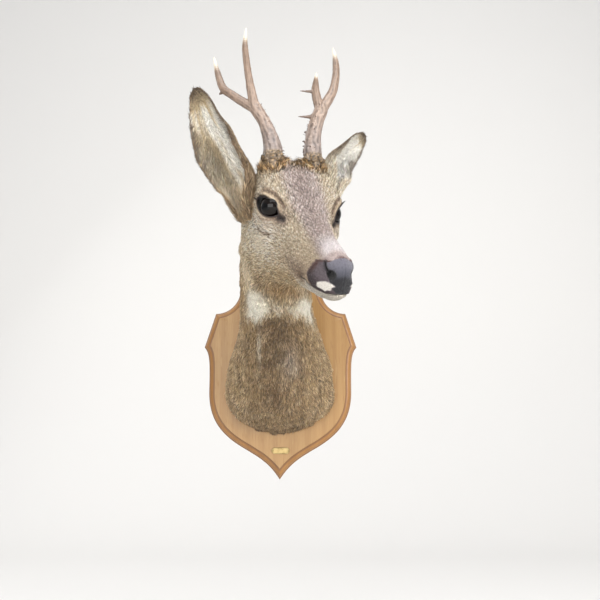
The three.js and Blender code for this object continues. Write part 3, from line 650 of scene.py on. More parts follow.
# The two edges below are given as (up, forward).
DARK_EDGE = ((-50, 97), (-46, 88), (-38, 78.5), (-28.6, 82), (-20.5, 86), (-17.2, 98), (-15, 107))
PAD_EDGE = ((-45, 115.2), (-41, 115.4), (-36, 113.2), (-32, 110.5), (-28, 109.0), (-23, 107.0), (-18, 104.0),
            (-14.5, 106.3), (-12.3, 108.2), (-10, 112))
UPPER_CREASE = [(-9, 14.2), (-5.6, 15.6), (3.5, 14.4), (11.1, 9.6), (18.0, 3.0)]  # in the eye's plane
LOWER_LINE = [(-9.5, -10.6), (-5.7, -12.2), (2, -12.6), (8.4, -10.6), (13, -8.4)]
POUCH_CREASE = [(-16, -17.5), (-13, -20.5), (-2.7, -25.0), (5, -26.6), (10.2, -26.0)]
TEAR_LINE = [(12.5, -3.8), (16, -6.4), (21, -8.0)]


def edge_of(table, level):
    """How far forward an edge stands at a level, in straight runs between its points."""
    levels, places = np.array(table, float).T
    return np.interp(level, levels, places)


def face_masks(points):
    """Shares between 0 and 1 that say what each point of the head belongs to."""
    h = mirrored(points)
    forward, _, up = np.moveaxis(h, -1, 0)
    x, y, z = eye_place(points)
    near_eye = rise(z, -6, 2)
    gap = lid_distance(x, y)
    mouth_gap = line_distance(h, MOUTH)[0]
    mouth_level = np.interp(forward, [p[0] for p in MOUTH], [p[2] for p in MOUTH])
    in_plane = np.stack([x, y], -1)
    level_up = h - np.stack([forward * 0, forward * 0, (forward - LIP_SPOT[0]) * LIP_SPOT_SLOPE], -1)
    from_spot = (level_up - np.array(LIP_SPOT)) / np.array(LIP_SPOT_REACH)
    masks = {
        "lid_gap": np.where(near_eye > 0.5, gap, FAR),
        "near_eye": near_eye,
        "mouth_gap": mouth_gap,
        "below_mouth": rise(mouth_level - up, -0.5, 0.5) * rise(forward, 56, 62),
        "dark": rise(forward - edge_of(DARK_EDGE, up) + 0.8 * ripple(h, 2.6, 51), -2.2, 2.8),
        "pad": rise(forward - edge_of(PAD_EDGE, up), -0.3, 0.7),
        "spot": rise(1.0 - (from_spot ** 2).sum(-1) + 0.2 * ripple(h, 4.6, 52), -0.2, 0.3),
        "slit": line_distance(h, NOSTRIL_SLIT)[0],
        "hole": bell(h, NOSTRIL, NOSTRIL_REACH),
    }
    eye_lines = {"crease": UPPER_CREASE, "lower": LOWER_LINE, "pouch": POUCH_CREASE, "tear": TEAR_LINE}
    for name, line in eye_lines.items():
        masks[name] = np.where(near_eye > 0.3, line_distance(in_plane, line)[0], FAR)
    return h, masks


WINTER_COAT = (168, 140, 101)  # the neck's ground colour


def markings(points, t):
    """The coat's colours in display values 0-255, worked out from the place on the animal alone:
    each region is laid over the last by its share."""
    h, m = face_masks(points)
    forward, side, up = np.moveaxis(h, -1, 0)
    x, _, z = np.moveaxis(points, -1, 0)
    blotch = ripple(points, 16.0, 5)
    speck = ripple(points, 5.0, 6)
    on_head = rise(t, 5.9, 7.4)
    colour = np.ones(points.shape) * WINTER_COAT

    def lay(share, tint):
        """Covers the colour so far by a share of another."""
        nonlocal colour
        share = np.clip(share, 0, 1)[..., None]
        colour = colour * (1 - share) + np.array(tint, float) * share

    # The neck.
    facing_down = rise(-(points - through((over + under) / 2, t))[..., 2], -6, 10)
    lay(rise(np.abs(x + 1), 24, 48) * 0.85, (190, 162, 122))
    lay(rise(z, 70, 130) * (1 - facing_down) * 0.7, (124, 107, 90))
    lay(hill(x, 0, 22) * rise(z, -36, -8) * (1 - rise(z, 27, 39)) * facing_down * 0.9, (120, 96, 66))
    lay(hill(x, -22, 3.2) * hill(z, 5, 19) * facing_down * 0.85, (226, 214, 192))
    lay(bell(np.stack([x, z], -1), (17, -10), (12, 18)) * facing_down * 0.75, (202, 185, 168))
    lay(bell(np.stack([x, z], -1), (-5, -46), (11, 15)) * facing_down * 0.7, (108, 83, 56))
    lay(rise(-z, 76, 92) * 0.4, (100, 82, 62))
    lay(rise(blotch, 0.2, 1.4) * 0.45, (200, 176, 142))
    lay(rise(-blotch, 0.3, 1.5) * 0.35, (118, 96, 70))
    # painted shade under the jaw: a tan laid on the downward face of the top of the throat, where the jaw
    # shades it
    lay(rise(t, 4.2, 5.4) * rise(z, 52, 64) * facing_down, (166, 141, 106))
    neck_top = rise(t, 4.1, 5.0) * (1 - rise(t, 6.8, 7.5)) * (1 - 0.7 * rise(z, 92, 128))
    lay(neck_top * rise(np.abs(x + 4), 15, 25) * rise(z, 48, 66), (236, 216, 184))
    # The white bib under the throat.
    bib_edge = 38 - 8 * hill(x, -23, 11) - 2 * hill(x, 34, 8)
    bib = rise(z + 3.0 * speck + 2.0 * blotch, bib_edge - 4, bib_edge + 6) * facing_down
    bib = bib * (1 - rise(z + 2 * speck, 55, 68)) * (1 - rise(-x, 31, 41)) * (1 - rise(x, 44, 52))
    # painted shade from the jaw: the middle of the bib is left less white, and a tan is laid over its top
    lay(bib * (1 - 0.35 * hill(x, 7, 17)), (255, 250, 234))
    lay(rise(t, 4.3, 4.8) * hill(x, 7, 19) * rise(z + 2 * speck, 40, 50) * facing_down * 0.9, (176, 151, 114))
    # The head: forehead, roots of the ears, cheeks, bridge of the nose, rings round the eyes, jaw.
    lay(on_head, (204, 185, 158))
    lay(on_head * rise(-up, 12, 40) * 0.8, (214, 191, 158))
    behind_jaw = rise(t, 5.5, 6.3) * (1 - rise(forward, -32, -14))
    lay(behind_jaw * rise(side, 30, 40) * rise(-up, 8, 26), (222, 202, 170))
    lay(on_head * (1 - rise(side, 12, 27)) * rise(up + forward * 0.35, 8, 20), (190, 173, 166))
    lay(on_head * hill(side, 0, 12) * rise(up + forward * 0.42, 12, 22) * 0.6, (164, 146, 138))
    lay(on_head * bell(h, (-36, 0, 50), (13, 44, 14)) * 0.9, (150, 124, 90))
    ear_root = bell(h, (-46, 46, 6), (13, 16, 16))
    on_right = rise(-into_head(points)[..., 1], -4, 4)
    lay(ear_root * on_right * 0.85, (216, 196, 164))
    lay(ear_root * (1 - on_right) * 0.7, (226, 212, 186))
    lay(bell(h, (-8, 40, -14), (24, 16, 16)) * 0.5, (226, 213, 192))
    lay(bell(h, (0, 42, -34), (26, 16, 18)) * 0.9, (252, 236, 210))
    # painted highlight: a pale grey patch on the end of the ridge of the nose, for light falling from above
    bridge_highlight = rise(forward, 62, 88) * rise(up + forward * 0.45, 16, 25)
    lay(bridge_highlight * (1 - rise(side, 8, 15)) * 0.95, (232, 224, 224))
    lay(rise(forward, 92, 101) * rise(up + forward * 0.45, 18, 26) * 0.5, (168, 142, 132))
    lay(bell(h, (2, 33, 20), (17, 10, 6.5)) * 0.85, (230, 211, 184))
    lay(bell(h, (8, 36, -13), (16, 14, 9)) * 0.7, (212, 195, 178))
    lay(bell(h, (16, 28, 10), (10, 8, 6)) * 0.5, (216, 197, 172))
    # painted shade under the jaw: its downward face is laid with tan
    jaw_side = (1 - rise(up, -64, -44)) * rise(t, 5.2, 6.6)
    lay(jaw_side * (1 - rise(forward, 40, 70)) * facing_down, (190, 164, 126))
    lay(bell(h, (-13, 36, -61), (17, 14, 11)) * 0.7, (238, 217, 184))
    # painted shade: a darker tan in the notch where the jaw meets the throat
    lay(bell(h, (-17, 13, -90), (22, 22, 8)) * 0.7, (160, 127, 86))
    lay(bell(h, (52, 22, -40), (24, 12, 12)) * 0.75, (156, 136, 118))
    lay(bell(h, (66, 20, -44), (9, 9, 9)) * 0.7, (112, 92, 80))
    lay(rise(forward, 36, 74) * (1 - rise(up, -56, -48)), (218, 207, 188))
    lay(m["below_mouth"] * rise(forward, 66, 80), (212, 204, 190))
    lay(bell(h, (62, 20.5, -44), (9, 9, 3.5)) * 0.5, (134, 108, 84))
    # The dark muzzle, the lip spot, the nose pad, the nostrils and the mouth.
    above_mouth = 1 - m["below_mouth"]
    dark = m["dark"] * above_mouth
    fine_speck = ripple(points, 2.2, 12)
    lay(dark, (122, 111, 117))
    lay(dark * rise(fine_speck, 0.0, 1.2) * 0.5, (84, 74, 78))
    lay(dark * hill(forward - edge_of(DARK_EDGE, up), 2.5, 5.0) * 0.9, (98, 66, 60))
    lay(dark * (1 - rise(up + 0.3 * (forward - 100), -42, -30)) * 0.75, (58, 46, 48))
    lay(m["spot"] * above_mouth, (234, 229, 220))
    pad = m["pad"] * above_mouth * (1 - m["spot"] * rise(side, 4, 7))
    lay(pad, (32, 32, 37))
    # painted highlight: the top of the nose pad is painted lighter and bluer, for light falling from above
    lay(pad * rise(up + 0.25 * side, -29.5, -24.0), (80, 81, 91))
    lay(pad * rise(up + 0.25 * side, -25.0, -15.0), (112, 110, 121))
    lay(pad * rise(fine_speck, 0.2, 1.3) * 0.25, (60, 60, 68))
    # painted shade round the nostril slit
    lay(hill(m["slit"], 0, 3.6) * 0.4 * above_mouth, (52, 48, 54))
    lay(hill(m["mouth_gap"], 0, 0.8) * rise(forward, 60, 70), (22, 17, 16))
    # painted shade: black inside the nostril slit and the nostril
    lay(hill(m["slit"], 0, 1.35), (12, 10, 12))
    lay(rise(m["hole"], 0.22, 0.5), (8, 7, 8))
    # Creases, darkened with painted shade, and rims of the lids.
    lay(hill(m["crease"], 0, 3.2) * 0.35, (158, 130, 102))
    lay(hill(m["crease"], 0, 1.4) * 0.8, (94, 74, 60))
    lay(hill(m["lower"], 0, 1.3) * 0.5, (122, 98, 84))
    lay(hill(m["pouch"], 3.5, 4.0) * (m["lid_gap"] > 3) * 0.55, (234, 219, 198))
    lay(hill(m["pouch"], 0, 1.5) * 0.8, (98, 78, 62))
    lay(hill(m["tear"], 0.5, 5.5) * m["near_eye"] * 0.5, (118, 96, 84))
    lay(hill(m["tear"], 0.2, 3.2) * m["near_eye"] * 0.95, (44, 35, 33))
    lay((1 - rise(m["lid_gap"], 0.6, 2.4)) * 0.75, (58, 45, 38))
    lay(1 - rise(m["lid_gap"], -0.2, 0.9), (16, 12, 11))
    return np.clip(colour, 0, 255)


# Skin grid: rows crowd round the eyes and the muzzle, columns on the sides of the face.
stations = np.concatenate([
    np.linspace(start, stop, rows, endpoint=False)
    for (start, rows), (stop, _) in zip(ROW_BANDS, ROW_BANDS[1:])
] + [[LAST]])
fine = np.linspace(0, 2 * math.pi, 4001)
folded_angle = np.minimum(fine, 2 * math.pi - fine)
crowding = np.cumsum(1 + 1.3 * hill(folded_angle, math.radians(74), math.radians(34)))
crowding = (crowding - crowding[0]) / (crowding[-1] - crowding[0])
angles = np.interp(np.arange(SKIN_COLUMNS) / SKIN_COLUMNS, crowding, fine)  # from the top to the deer's right
t_grid, a_grid = np.meshgrid(stations, -angles, indexing="ij")
outside = body_form(t_grid, a_grid)
depth = np.interp(t_grid, *np.array(COAT_DEPTH).T)
_, masks = face_masks(outside)
depth = depth * (1 - 0.7 * hill(masks["lid_gap"], 0, 7)) * (1 - 0.95 * masks["pad"])
hide = outside - grid_normals(outside) * depth[..., None]


def fold_face(points, t):
    """Shapes the lids, creases, mouth, nostrils and small folds by pushing the hide in and out."""
    normals = grid_normals(points)
    h, m = face_masks(points)
    forward, side, _ = np.moveaxis(h, -1, 0)
    socket = 1 - rise(m["lid_gap"], -1.1, 0.35)
    lip = hill(m["lid_gap"], 0.9, 1.3)
    outwards = -3.4 * socket + 0.9 * lip
    outwards += 0.7 * hill(m["lid_gap"], 3.6, 1.6) * (m["crease"] < 30)
    creases = 1.0 * hill(m["crease"], 0, 1.0) + 0.7 * hill(m["lower"], 0, 0.8)
    outwards -= creases + 1.0 * hill(m["pouch"], 0, 1.5)
    outwards += 0.6 * hill(m["pouch"], 4.5, 3.0) * (m["lid_gap"] > 3)
    outwards -= 1.2 * hill(m["tear"], 0, 1.6)
    moved = pushed(points, EYE_OUT, outwards * m["near_eye"])
    inward = 2.2 * hill(m["mouth_gap"], 0, 0.9) * rise(forward, 58, 68)
    inward -= 0.5 * hill(m["mouth_gap"], 2.6, 1.5) * rise(forward, 62, 74)
    inward += 1.9 * hill(m["slit"], 0, 0.9) - 0.7 * hill(m["slit"], 2.4, 1.3)
    inward += 0.5 * rise(forward, 100, 112) * m["below_mouth"]
    inward += 0.35 * hill(side, 0, 0.7) * m["pad"]
    inward -= 0.5 * m["spot"]
    moved = moved - normals * inward[..., None]
    moved = pushed(moved, (-6.5, -2.4, 1.2), m["hole"] ** 1.5)
    loose = (1 - m["pad"]) * (1 - hill(m["lid_gap"], 0, 5))
    on_cheek = bell(h, (30, 24, -52), (40, 22, 20))
    waves = 0.25 * ripple(points, 13.0, 8) + 0.9 * on_cheek * ripple(points * (1.0, 1.0, 1.6), 11.0, 9)
    folds = 0.9 * ripple(points * (1.0, 1.0, 0.45), 17.0, 10) + 0.45 * ripple(points, 8.0, 11)
    waves += (1 - rise(t, 5.5, 6.8)) * folds
    return moved + normals * (waves * loose)[..., None]


hide = fold_face(hide, t_grid)
hide_normals = grid_normals(hide)
hide_colours = markings(outside, t_grid)

# Each ear is a cupped leaf: a thin shell round a middle line, wider and flatter towards the middle.
EAR_CUP = [2.75, 2.35, 1.75, 1.5, 1.35, 1.15, 0.8, 0.4]  # half angle of the cup along the ear
EAR_SKIN = 1.1  # half thickness of the bare shell
# The last entry of each ear whitens its inside: partly the ear's own pale hair; the left ear's larger share
# is painted light, for the light falling on its inside.
EARS = {
    "right": dict(
        line=[(-34.6, -37, -20.4), (-43.5, -38.7, -3.9), (-54.7, -41.1, 15.1), (-71.5, -52.2, 33.8),
              (-87, -59.7, 49.2), (-101.3, -68.8, 64), (-117.3, -77.7, 83.5), (-128.5, -86.4, 98.9)],
        half=[8.3, 13.5, 19.8, 23.3, 25.2, 21, 15.1, 6.6], opens=(0.547, -0.82, 0.17),
        root_tint=(112.0, 88.0, 60.0), paleness_and_painted_light=0.25),
    "left": dict(
        line=[(-41.4, 39.6, 2.3), (-51.1, 44.9, 13.2), (-66, 51.5, 21.5), (-83.9, 61.8, 29.7),
              (-97.3, 76.1, 37.8), (-109.1, 91.5, 45.7), (-122.6, 109.2, 55), (-134.6, 125.2, 60.7)],
        half=[9.3, 11.4, 15.9, 17.6, 15.1, 13.5, 10.2, 4.9], opens=(0.971, 0.167, 0.168),
        root_tint=(228.0, 216.0, 192.0), paleness_and_painted_light=0.75),
}
EAR_ROWS, EAR_COLUMNS = 58, 33
EAR_HOLLOW, EAR_CREAM, EAR_BACK = (213, 191, 154), (255, 251, 240), (158, 136, 108)
EAR_FOOT, EAR_RIM = (218, 196, 163), (82, 66, 52)


def ear_surface(ear, s, q, lift):
    """A cupped strip: at share s of the middle line an arc of the width there, turned by q times
    the cup angle, and lifted outwards (to the back of the ear) by `lift`. In head coordinates."""
    t = s * (len(ear["line"]) - 1)
    middle = through(ear["line"], t)
    along = unit(through(ear["line"], t + 0.01) - through(ear["line"], t - 0.01))
    out = across_part(np.broadcast_to(ear["opens"], along.shape), along)
    across = np.cross(along, out)
    cup = through(EAR_CUP, t)
    rounding = np.sqrt(np.maximum(1 - (np.maximum(s - 0.95, 0) / 0.052) ** 2, 0.02))
    width = (through(ear["half"], t) - 0.6) * rounding
    radius = np.where(cup < math.pi / 2, width / np.sin(cup), width)
    curl = 1 + 0.10 * hill(np.abs(q), 1.0, 0.22)
    turn, r = cup * q * curl, radius + lift
    return middle + across * (r * np.sin(turn))[..., None] + out * (radius - r * np.cos(turn))[..., None]


def ear_shell(ear):
    """The back of the ear from edge to edge and the inside back again, as one closed band of rows."""
    s = np.linspace(0, 1, EAR_ROWS)[:, None]
    q = np.linspace(-1, 1, EAR_COLUMNS)[None, :]
    s, q = np.broadcast_arrays(s, q)
    half = EAR_SKIN * (1 - 0.6 * s) * (1 - 0.55 * np.abs(q) ** 6)
    ribs = 0.5 * np.sin(q * 9.0 + 1.0) * hill(s, 0.35, 0.22) * (1 - np.abs(q))
    back, front = ear_surface(ear, s, q, half), ear_surface(ear, s, q, -half + ribs)
    return from_head(np.concatenate([back, front[:, ::-1]], axis=1)[:, ::-1])


def ear_places(columns):
    """Share along the ear and place across it (-1 to 1) for every point of the closed band."""
    s = np.linspace(0, 1, EAR_ROWS)[:, None] * np.ones(columns)
    q = np.concatenate([np.linspace(-1, 1, columns // 2), np.linspace(1, -1, columns // 2)])
    return s, q * np.ones((EAR_ROWS, 1))


def ear_colours(points, front, root_tint, paleness_and_painted_light):
    """Inside: a tan rear half, darkened with painted shade deep in the cup, a cream band streaked with white
    on the front half and a grey-tan tip. Back: the root's own colour, then grey-brown. The foot takes the
    head's colour, and rim and tip are edged dark."""
    s, q = ear_places(points.shape[1])
    edge_step = into_head(points[EAR_ROWS // 2, EAR_COLUMNS - 1]) - into_head(points[EAR_ROWS // 2, 0])
    towards = q * np.sign(edge_step[0])
    streak = ripple(np.stack([q * 30, s * 9 + q * 4, front * 40.0], -1), 5.0, 14)
    rim = rise(np.abs(q) + 0.05 * ripple(points, 9.0, 15), 0.87, 0.97) * rise(s, 0.25, 0.5)
    tip = rise(s + 0.02 * streak, 0.90, 0.97)
    near_tip = rise(s, 0.82, 0.91)
    white = 0.32 * streak + 0.95 * towards * (1 - rise(s, 0.55, 0.8)) + 0.35 * (1 - rise(s, 0.3, 0.6))
    white = white + 1.1 * hill(s, 0.42, 0.18) * rise(towards, -0.3, 0.1)
    # partly painted light: the left ear's inside is painted paler for the light falling on it
    white = white + 0.2 * hill(s, 0.74, 0.1) - 0.8 * near_tip + paleness_and_painted_light - 0.1
    # painted shade: the inside darkens deep in the cup; near the tip the darkening is the tip's own grey-tan
    cup_shade_and_tip = 1.3 * hill(s, 0.46, 0.2) * hill(towards, -0.5, 0.45) + near_tip
    inside = np.array(EAR_HOLLOW) * (1 - 0.18 * cup_shade_and_tip[..., None])
    inside = toned(inside, EAR_CREAM, rise(white, -0.25, 0.7))
    back = np.array(EAR_BACK) * (1 + 0.1 * streak)[..., None]
    back = toned(back, root_tint, 1 - rise(s, 0.2, 0.5))
    colour = np.where(front[..., None], inside, back)
    at_root = (1 - rise(s + 0.04 * streak, 0.23, 0.34)) * np.where(front, 0.9, 0.4)
    colour = toned(colour, EAR_FOOT, at_root)
    edge = np.clip(np.maximum(rim * 0.75, tip * (0.8 + 0.15 * streak)), 0, 1)[..., None]
    return np.clip(colour * (1 - edge) + np.array(EAR_RIM) * edge, 0, 255)


ear_grids, ear_tints = {}, {}
for side, ear in EARS.items():
    shell = ear_shell(ear)
    is_front = np.broadcast_to(np.arange(2 * EAR_COLUMNS) < EAR_COLUMNS, shell.shape[:2])
    ear_grids[side], ear_tints[side] = shell, ear_colours(shell, is_front, ear["root_tint"], ear["paleness_and_painted_light"])

rows, columns = hide.shape[:2]
hide_quads, hide_fans = closed_faces(rows, columns)
chunks = [hide.reshape(-1, 3), hide[0].mean(0), hide[-1].mean(0)]
quads, tints = [hide_quads], [hide_colours.reshape(-1, 3), hide_colours[[0, -1], 0]]
count = rows * columns + 2
for side, shell in ear_grids.items():
    ear_rows, ear_columns = shell.shape[:2]
    chunks.append(shell.reshape(-1, 3))
    tints.append(ear_tints[side].reshape(-1, 3))
    quads.append(grid_faces(ear_rows, ear_columns, count))
    j = np.arange(EAR_COLUMNS - 1)
    rung = np.stack([j, j + 1, ear_columns - 2 - j, ear_columns - 1 - j], -1)
    quads.append(count + rung[:, ::-1])
    quads.append(count + (ear_rows - 1) * ear_columns + rung)
    count += shell.size // 3

pelt = Finish("pelt", Roughness=0.72, Sheen_Weight=0.12, Sheen_Roughness=0.5, Specular_IOR_Level=0.3)
dye = pelt.add("ShaderNodeAttribute", {"attribute_name": "dye"}, out=0)
wet = pelt.add("ShaderNodeAttribute", {"attribute_name": "wet"}, out=2)
grain = pelt.noise(pelt.place((900, 900, 520)), 1.0, 3.0, 0.65)
pebble_place = {"Vector": pelt.place((620, 620, 620))}
pebble = pelt.add("ShaderNodeTexVoronoi", {"feature": "DISTANCE_TO_EDGE"}, pebble_place)
browned = pelt.mix(0.55, dye, rgb(90, 70, 52), "MULTIPLY")
ticked = pelt.mix(grain.step(0.36, 0.7) * (1 - wet) * 0.5, dye, browned)
pelt.paint(
    Base_Color=ticked,
    Roughness=0.78 - wet * 0.42 + grain * 0.1,
    Normal=pelt.bump(pebble.step(0.0, 0.25) * wet + grain * (1 - wet), 0.0006, 0.7),
)
skin = mesh_piece("skin", np.vstack(chunks), [np.vstack(quads), hide_fans], pelt.material)


def paint_points(piece, colours):
    """Keeps a display colour for every point as the attribute `dye`, in linear light."""
    linear = np.ones((len(colours), 4), np.float32)
    linear[:, :3] = (colours / 255.0) ** DISPLAY_POWER
    piece.data.color_attributes.new(name="dye", type="FLOAT_COLOR", domain="POINT")
    piece.data.color_attributes["dye"].data.foreach_set("color", linear.ravel())


def keep_value(piece, name, values):
    """Keeps one number for every point as an attribute."""
    piece.data.attributes.new(name=name, type="FLOAT", domain="POINT")
    piece.data.attributes[name].data.foreach_set("value", values.astype(np.float32))


paint_points(skin, np.vstack(tints))
bare_pad = masks["pad"] * (1 - masks["spot"]) * (1 - masks["below_mouth"])
moist = np.maximum(bare_pad, 1 - rise(masks["lid_gap"], 0.2, 1.0))
moist = np.maximum(moist, rise(masks["hole"], 0.2, 0.6))
wetness = np.zeros(len(skin.data.vertices))
wetness[:rows * columns] = moist.ravel()
keep_value(skin, "wet", wetness)
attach(skin, "root")
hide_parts("shoulder", "neck", "head", "muzzle", "lower_jaw", "nose_pad", "ear_right", "ear_left")

# ---- The eyes: domed glass, almost black, with a dark brown iris and an oblong pupil. Each is set
# in the socket behind the lids, whose rims are bare dark skin with a row of lashes along the top.
EYE_RADIUS, GLASS_RINGS, GLASS_SPOKES = 13.0, 56, 80
PUPIL_HALF_LONG, PUPIL_HALF_HIGH, IRIS_EDGE = 6.6, 3.6, 10.2
IRIS, PUPIL, EYE_WHITE = (22, 16, 13), (5, 5, 7), (12, 9, 9)
EYE_DOME = 0.035  # how much further out the front stands, as a share of the radius
RIM_THICKNESS, RIM_POINTS, RIM_SPOKES = 0.62, 120, 10
LASHES_EACH = 84
FIRST_SPOKE = (0.2, 0.3, 0.93)  # where a tube's first circle starts

glass = Finish("eye_glass", Roughness=0.05, IOR=1.42, Specular_IOR_Level=0.34)
glass.paint(Base_Color=glass.add("ShaderNodeAttribute", {"attribute_name": "dye"}, out=0))
rim_skin = Finish("lid_rim", Roughness=0.36, Base_Color=rgb(24, 18, 17))
rim_grain = rim_skin.noise(rim_skin.place((700, 700, 700)), 1.0, 2.0)
rim_skin.paint(
    Base_Color=rim_skin.mix(rim_grain, rgb(16, 12, 12), rgb(44, 32, 30)),
    Normal=rim_skin.bump(rim_grain, 0.0003, 0.6),
)
lash_hair = Finish("lash", Roughness=0.45, Base_Color=rgb(22, 17, 15))
lash_shade = lash_hair.noise(lash_hair.place((300, 300, 300)))
lash_hair.paint(Base_Color=lash_hair.mix(lash_shade, rgb(14, 11, 10), rgb(38, 29, 24)))


def from_eye(x, y, z, side):
    """A place in the eye's plane (towards the nose, up, out) to the world, for one side (-1 right)."""
    head = EYE_MIDDLE + x[..., None] * EYE_NOSEWARD + y[..., None] * EYE_UP + z[..., None] * EYE_OUT
    return from_head(head * (1, side, 1) - (0, 0, LEFT_EYE_DROP * (side > 0)))


def ball_mesh(name, side, material):
    """A ball of rings about the way the eye looks; its front is domed a little further out."""
    tilt = np.linspace(0, math.pi, GLASS_RINGS)[1:-1, None]
    turn = np.linspace(0, 2 * math.pi, GLASS_SPOKES, endpoint=False)[None, :] * side
    r = EYE_RADIUS * (1 + EYE_DOME * hill(tilt, 0, 0.5)) - 0.1
    x, y = r * np.sin(tilt) * np.cos(turn), r * np.sin(tilt) * np.sin(turn)
    z = r * np.cos(tilt) * np.ones_like(turn)
    fibre = 1 + 0.25 * np.sin(23 * turn) * hill(np.hypot(x, y), 7, 3)
    iris = np.array(IRIS) * fibre[..., None]
    pupil = rise(1 - (x / PUPIL_HALF_LONG) ** 2 - (y / PUPIL_HALF_HIGH) ** 2, -0.1, 0.25)
    white = rise(np.hypot(x, y) + (z < 0) * 20, IRIS_EDGE, IRIS_EDGE + 1.0)
    tint = iris * (1 - pupil[..., None]) + np.array(PUPIL) * pupil[..., None]
    tint = tint * (1 - white[..., None]) + np.array(EYE_WHITE) * white[..., None]
    front, back = EYE_RADIUS * (1 + EYE_DOME) - 0.1, -EYE_RADIUS + 0.1
    poles = from_eye(np.zeros(2), np.zeros(2), np.array([front, back]), side)
    points = np.vstack([from_eye(x, y, z, side).reshape(-1, 3), poles])
    ball = mesh_piece(name, points, closed_faces(*x.shape), material)
    paint_points(ball, np.clip(np.vstack([tint.reshape(-1, 3), PUPIL, EYE_WHITE]), 0, 255))
    return ball


def lid_line(share):
    """Points of the almond between the lids, at a share of the way round from the front corner."""
    turn = 2 * math.pi * share
    c, s = np.cos(turn), np.sin(turn)
    height = np.where(s > 0, UPPER_LID, LOWER_LID)
    x = LID_HALF * c
    y = height * np.sign(s) * np.maximum(1 - c * c, 0) ** (1 / LID_POWER)
    return x + LID_MIDDLE[0], y + LID_MIDDLE[1] + LID_SLOPE * x


def tube_points(line, radii, spokes, closed=False):
    """Circles carried along a line of points, each square to it and turned as little as possible."""
    ahead = np.roll(line, -1, axis=0) - np.roll(line, 1, axis=0) if closed else np.gradient(line, axis=0)
    ahead = unit(ahead)
    first = np.empty_like(line)
    way = np.array(FIRST_SPOKE)
    for k in range(len(line)):
        way = unit(way - (way @ ahead[k]) * ahead[k])
        first[k] = way
    second = np.cross(ahead, first)
    turn = np.linspace(0, 2 * math.pi, spokes, endpoint=False)
    radii = np.broadcast_to(radii, (len(line), spokes)) if np.ndim(radii) == 2 else np.array(radii)[:, None]
    circle = first[:, None] * np.cos(turn)[None, :, None] + second[:, None] * np.sin(turn)[None, :, None]
    return line[:, None] + circle * radii[..., None]


TUFT_FACES = np.array([  # corners 0-2 at the root, 3-5 half way up, 6 the tip
    (0, 2, 1), (0, 1, 4), (0, 4, 3), (1, 2, 5), (1, 5, 4),
    (2, 0, 3), (2, 3, 5), (3, 4, 6), (4, 5, 6), (5, 3, 6),
])
TUFT_SUNK, TUFT_KNEE = 0.06, 0.52  # shares of its length below the skin and up to the bend
TUFT_DEPTH = 0.42  # its depth as a share of its width
TUFT_PATCH = np.array(  # its corners on the OFBake layer
    [(0, 0), (1, 0), (0.5, 0.2), (0.1, 0.6), (0.9, 0.6), (0.5, 0.7), (0.5, 1)]
) * 0.003


def spikes(name, roots, ways, tops, lengths, widths, bend, root_tints, tip_tints, patches, material):
    """Tufts as bent three-sided spikes: a triangle at the root, a smaller one half way up, one tip.
    `ways` is where a spike heads, `tops` which side of it faces out of the coat, `bend` how far the
    tip drops back towards the skin, as a share of the length. Each has its own patch of OFBake."""
    across = unit(np.cross(tops, ways))
    lengths, widths, bend = (np.asarray(v, float)[:, None] for v in (lengths, widths, bend))
    base = roots - ways * lengths * TUFT_SUNK
    middle = roots + ways * lengths * TUFT_KNEE
    tip = roots + ways * lengths - tops * lengths * bend
    thick = tops * widths * TUFT_DEPTH
    corners = [
        base - across * widths * 0.5, base + across * widths * 0.5, base + thick,
        middle - across * widths * 0.40, middle + across * widths * 0.40, middle + thick * 0.8, tip,
    ]
    points = np.stack(corners, 1)
    faces = (np.arange(len(roots))[:, None, None] * len(corners) + TUFT_FACES).reshape(-1, 3)
    piece = mesh_piece(name, points.reshape(-1, 3), [faces], material)
    mid_tints = root_tints * 0.35 + tip_tints * 0.65
    tints = np.stack([root_tints] * 3 + [mid_tints] * 3 + [tip_tints], 1)
    paint_points(piece, np.clip(tints.reshape(-1, 3), 0, 255))
    if patches is not None:
        layer = piece.data.uv_layers.new(name="OFBake")
        places = (patches[:, None] + TUFT_PATCH).reshape(-1, 2)[faces.ravel()]
        layer.data.foreach_set("uv", places.astype(np.float32).ravel())
    return piece


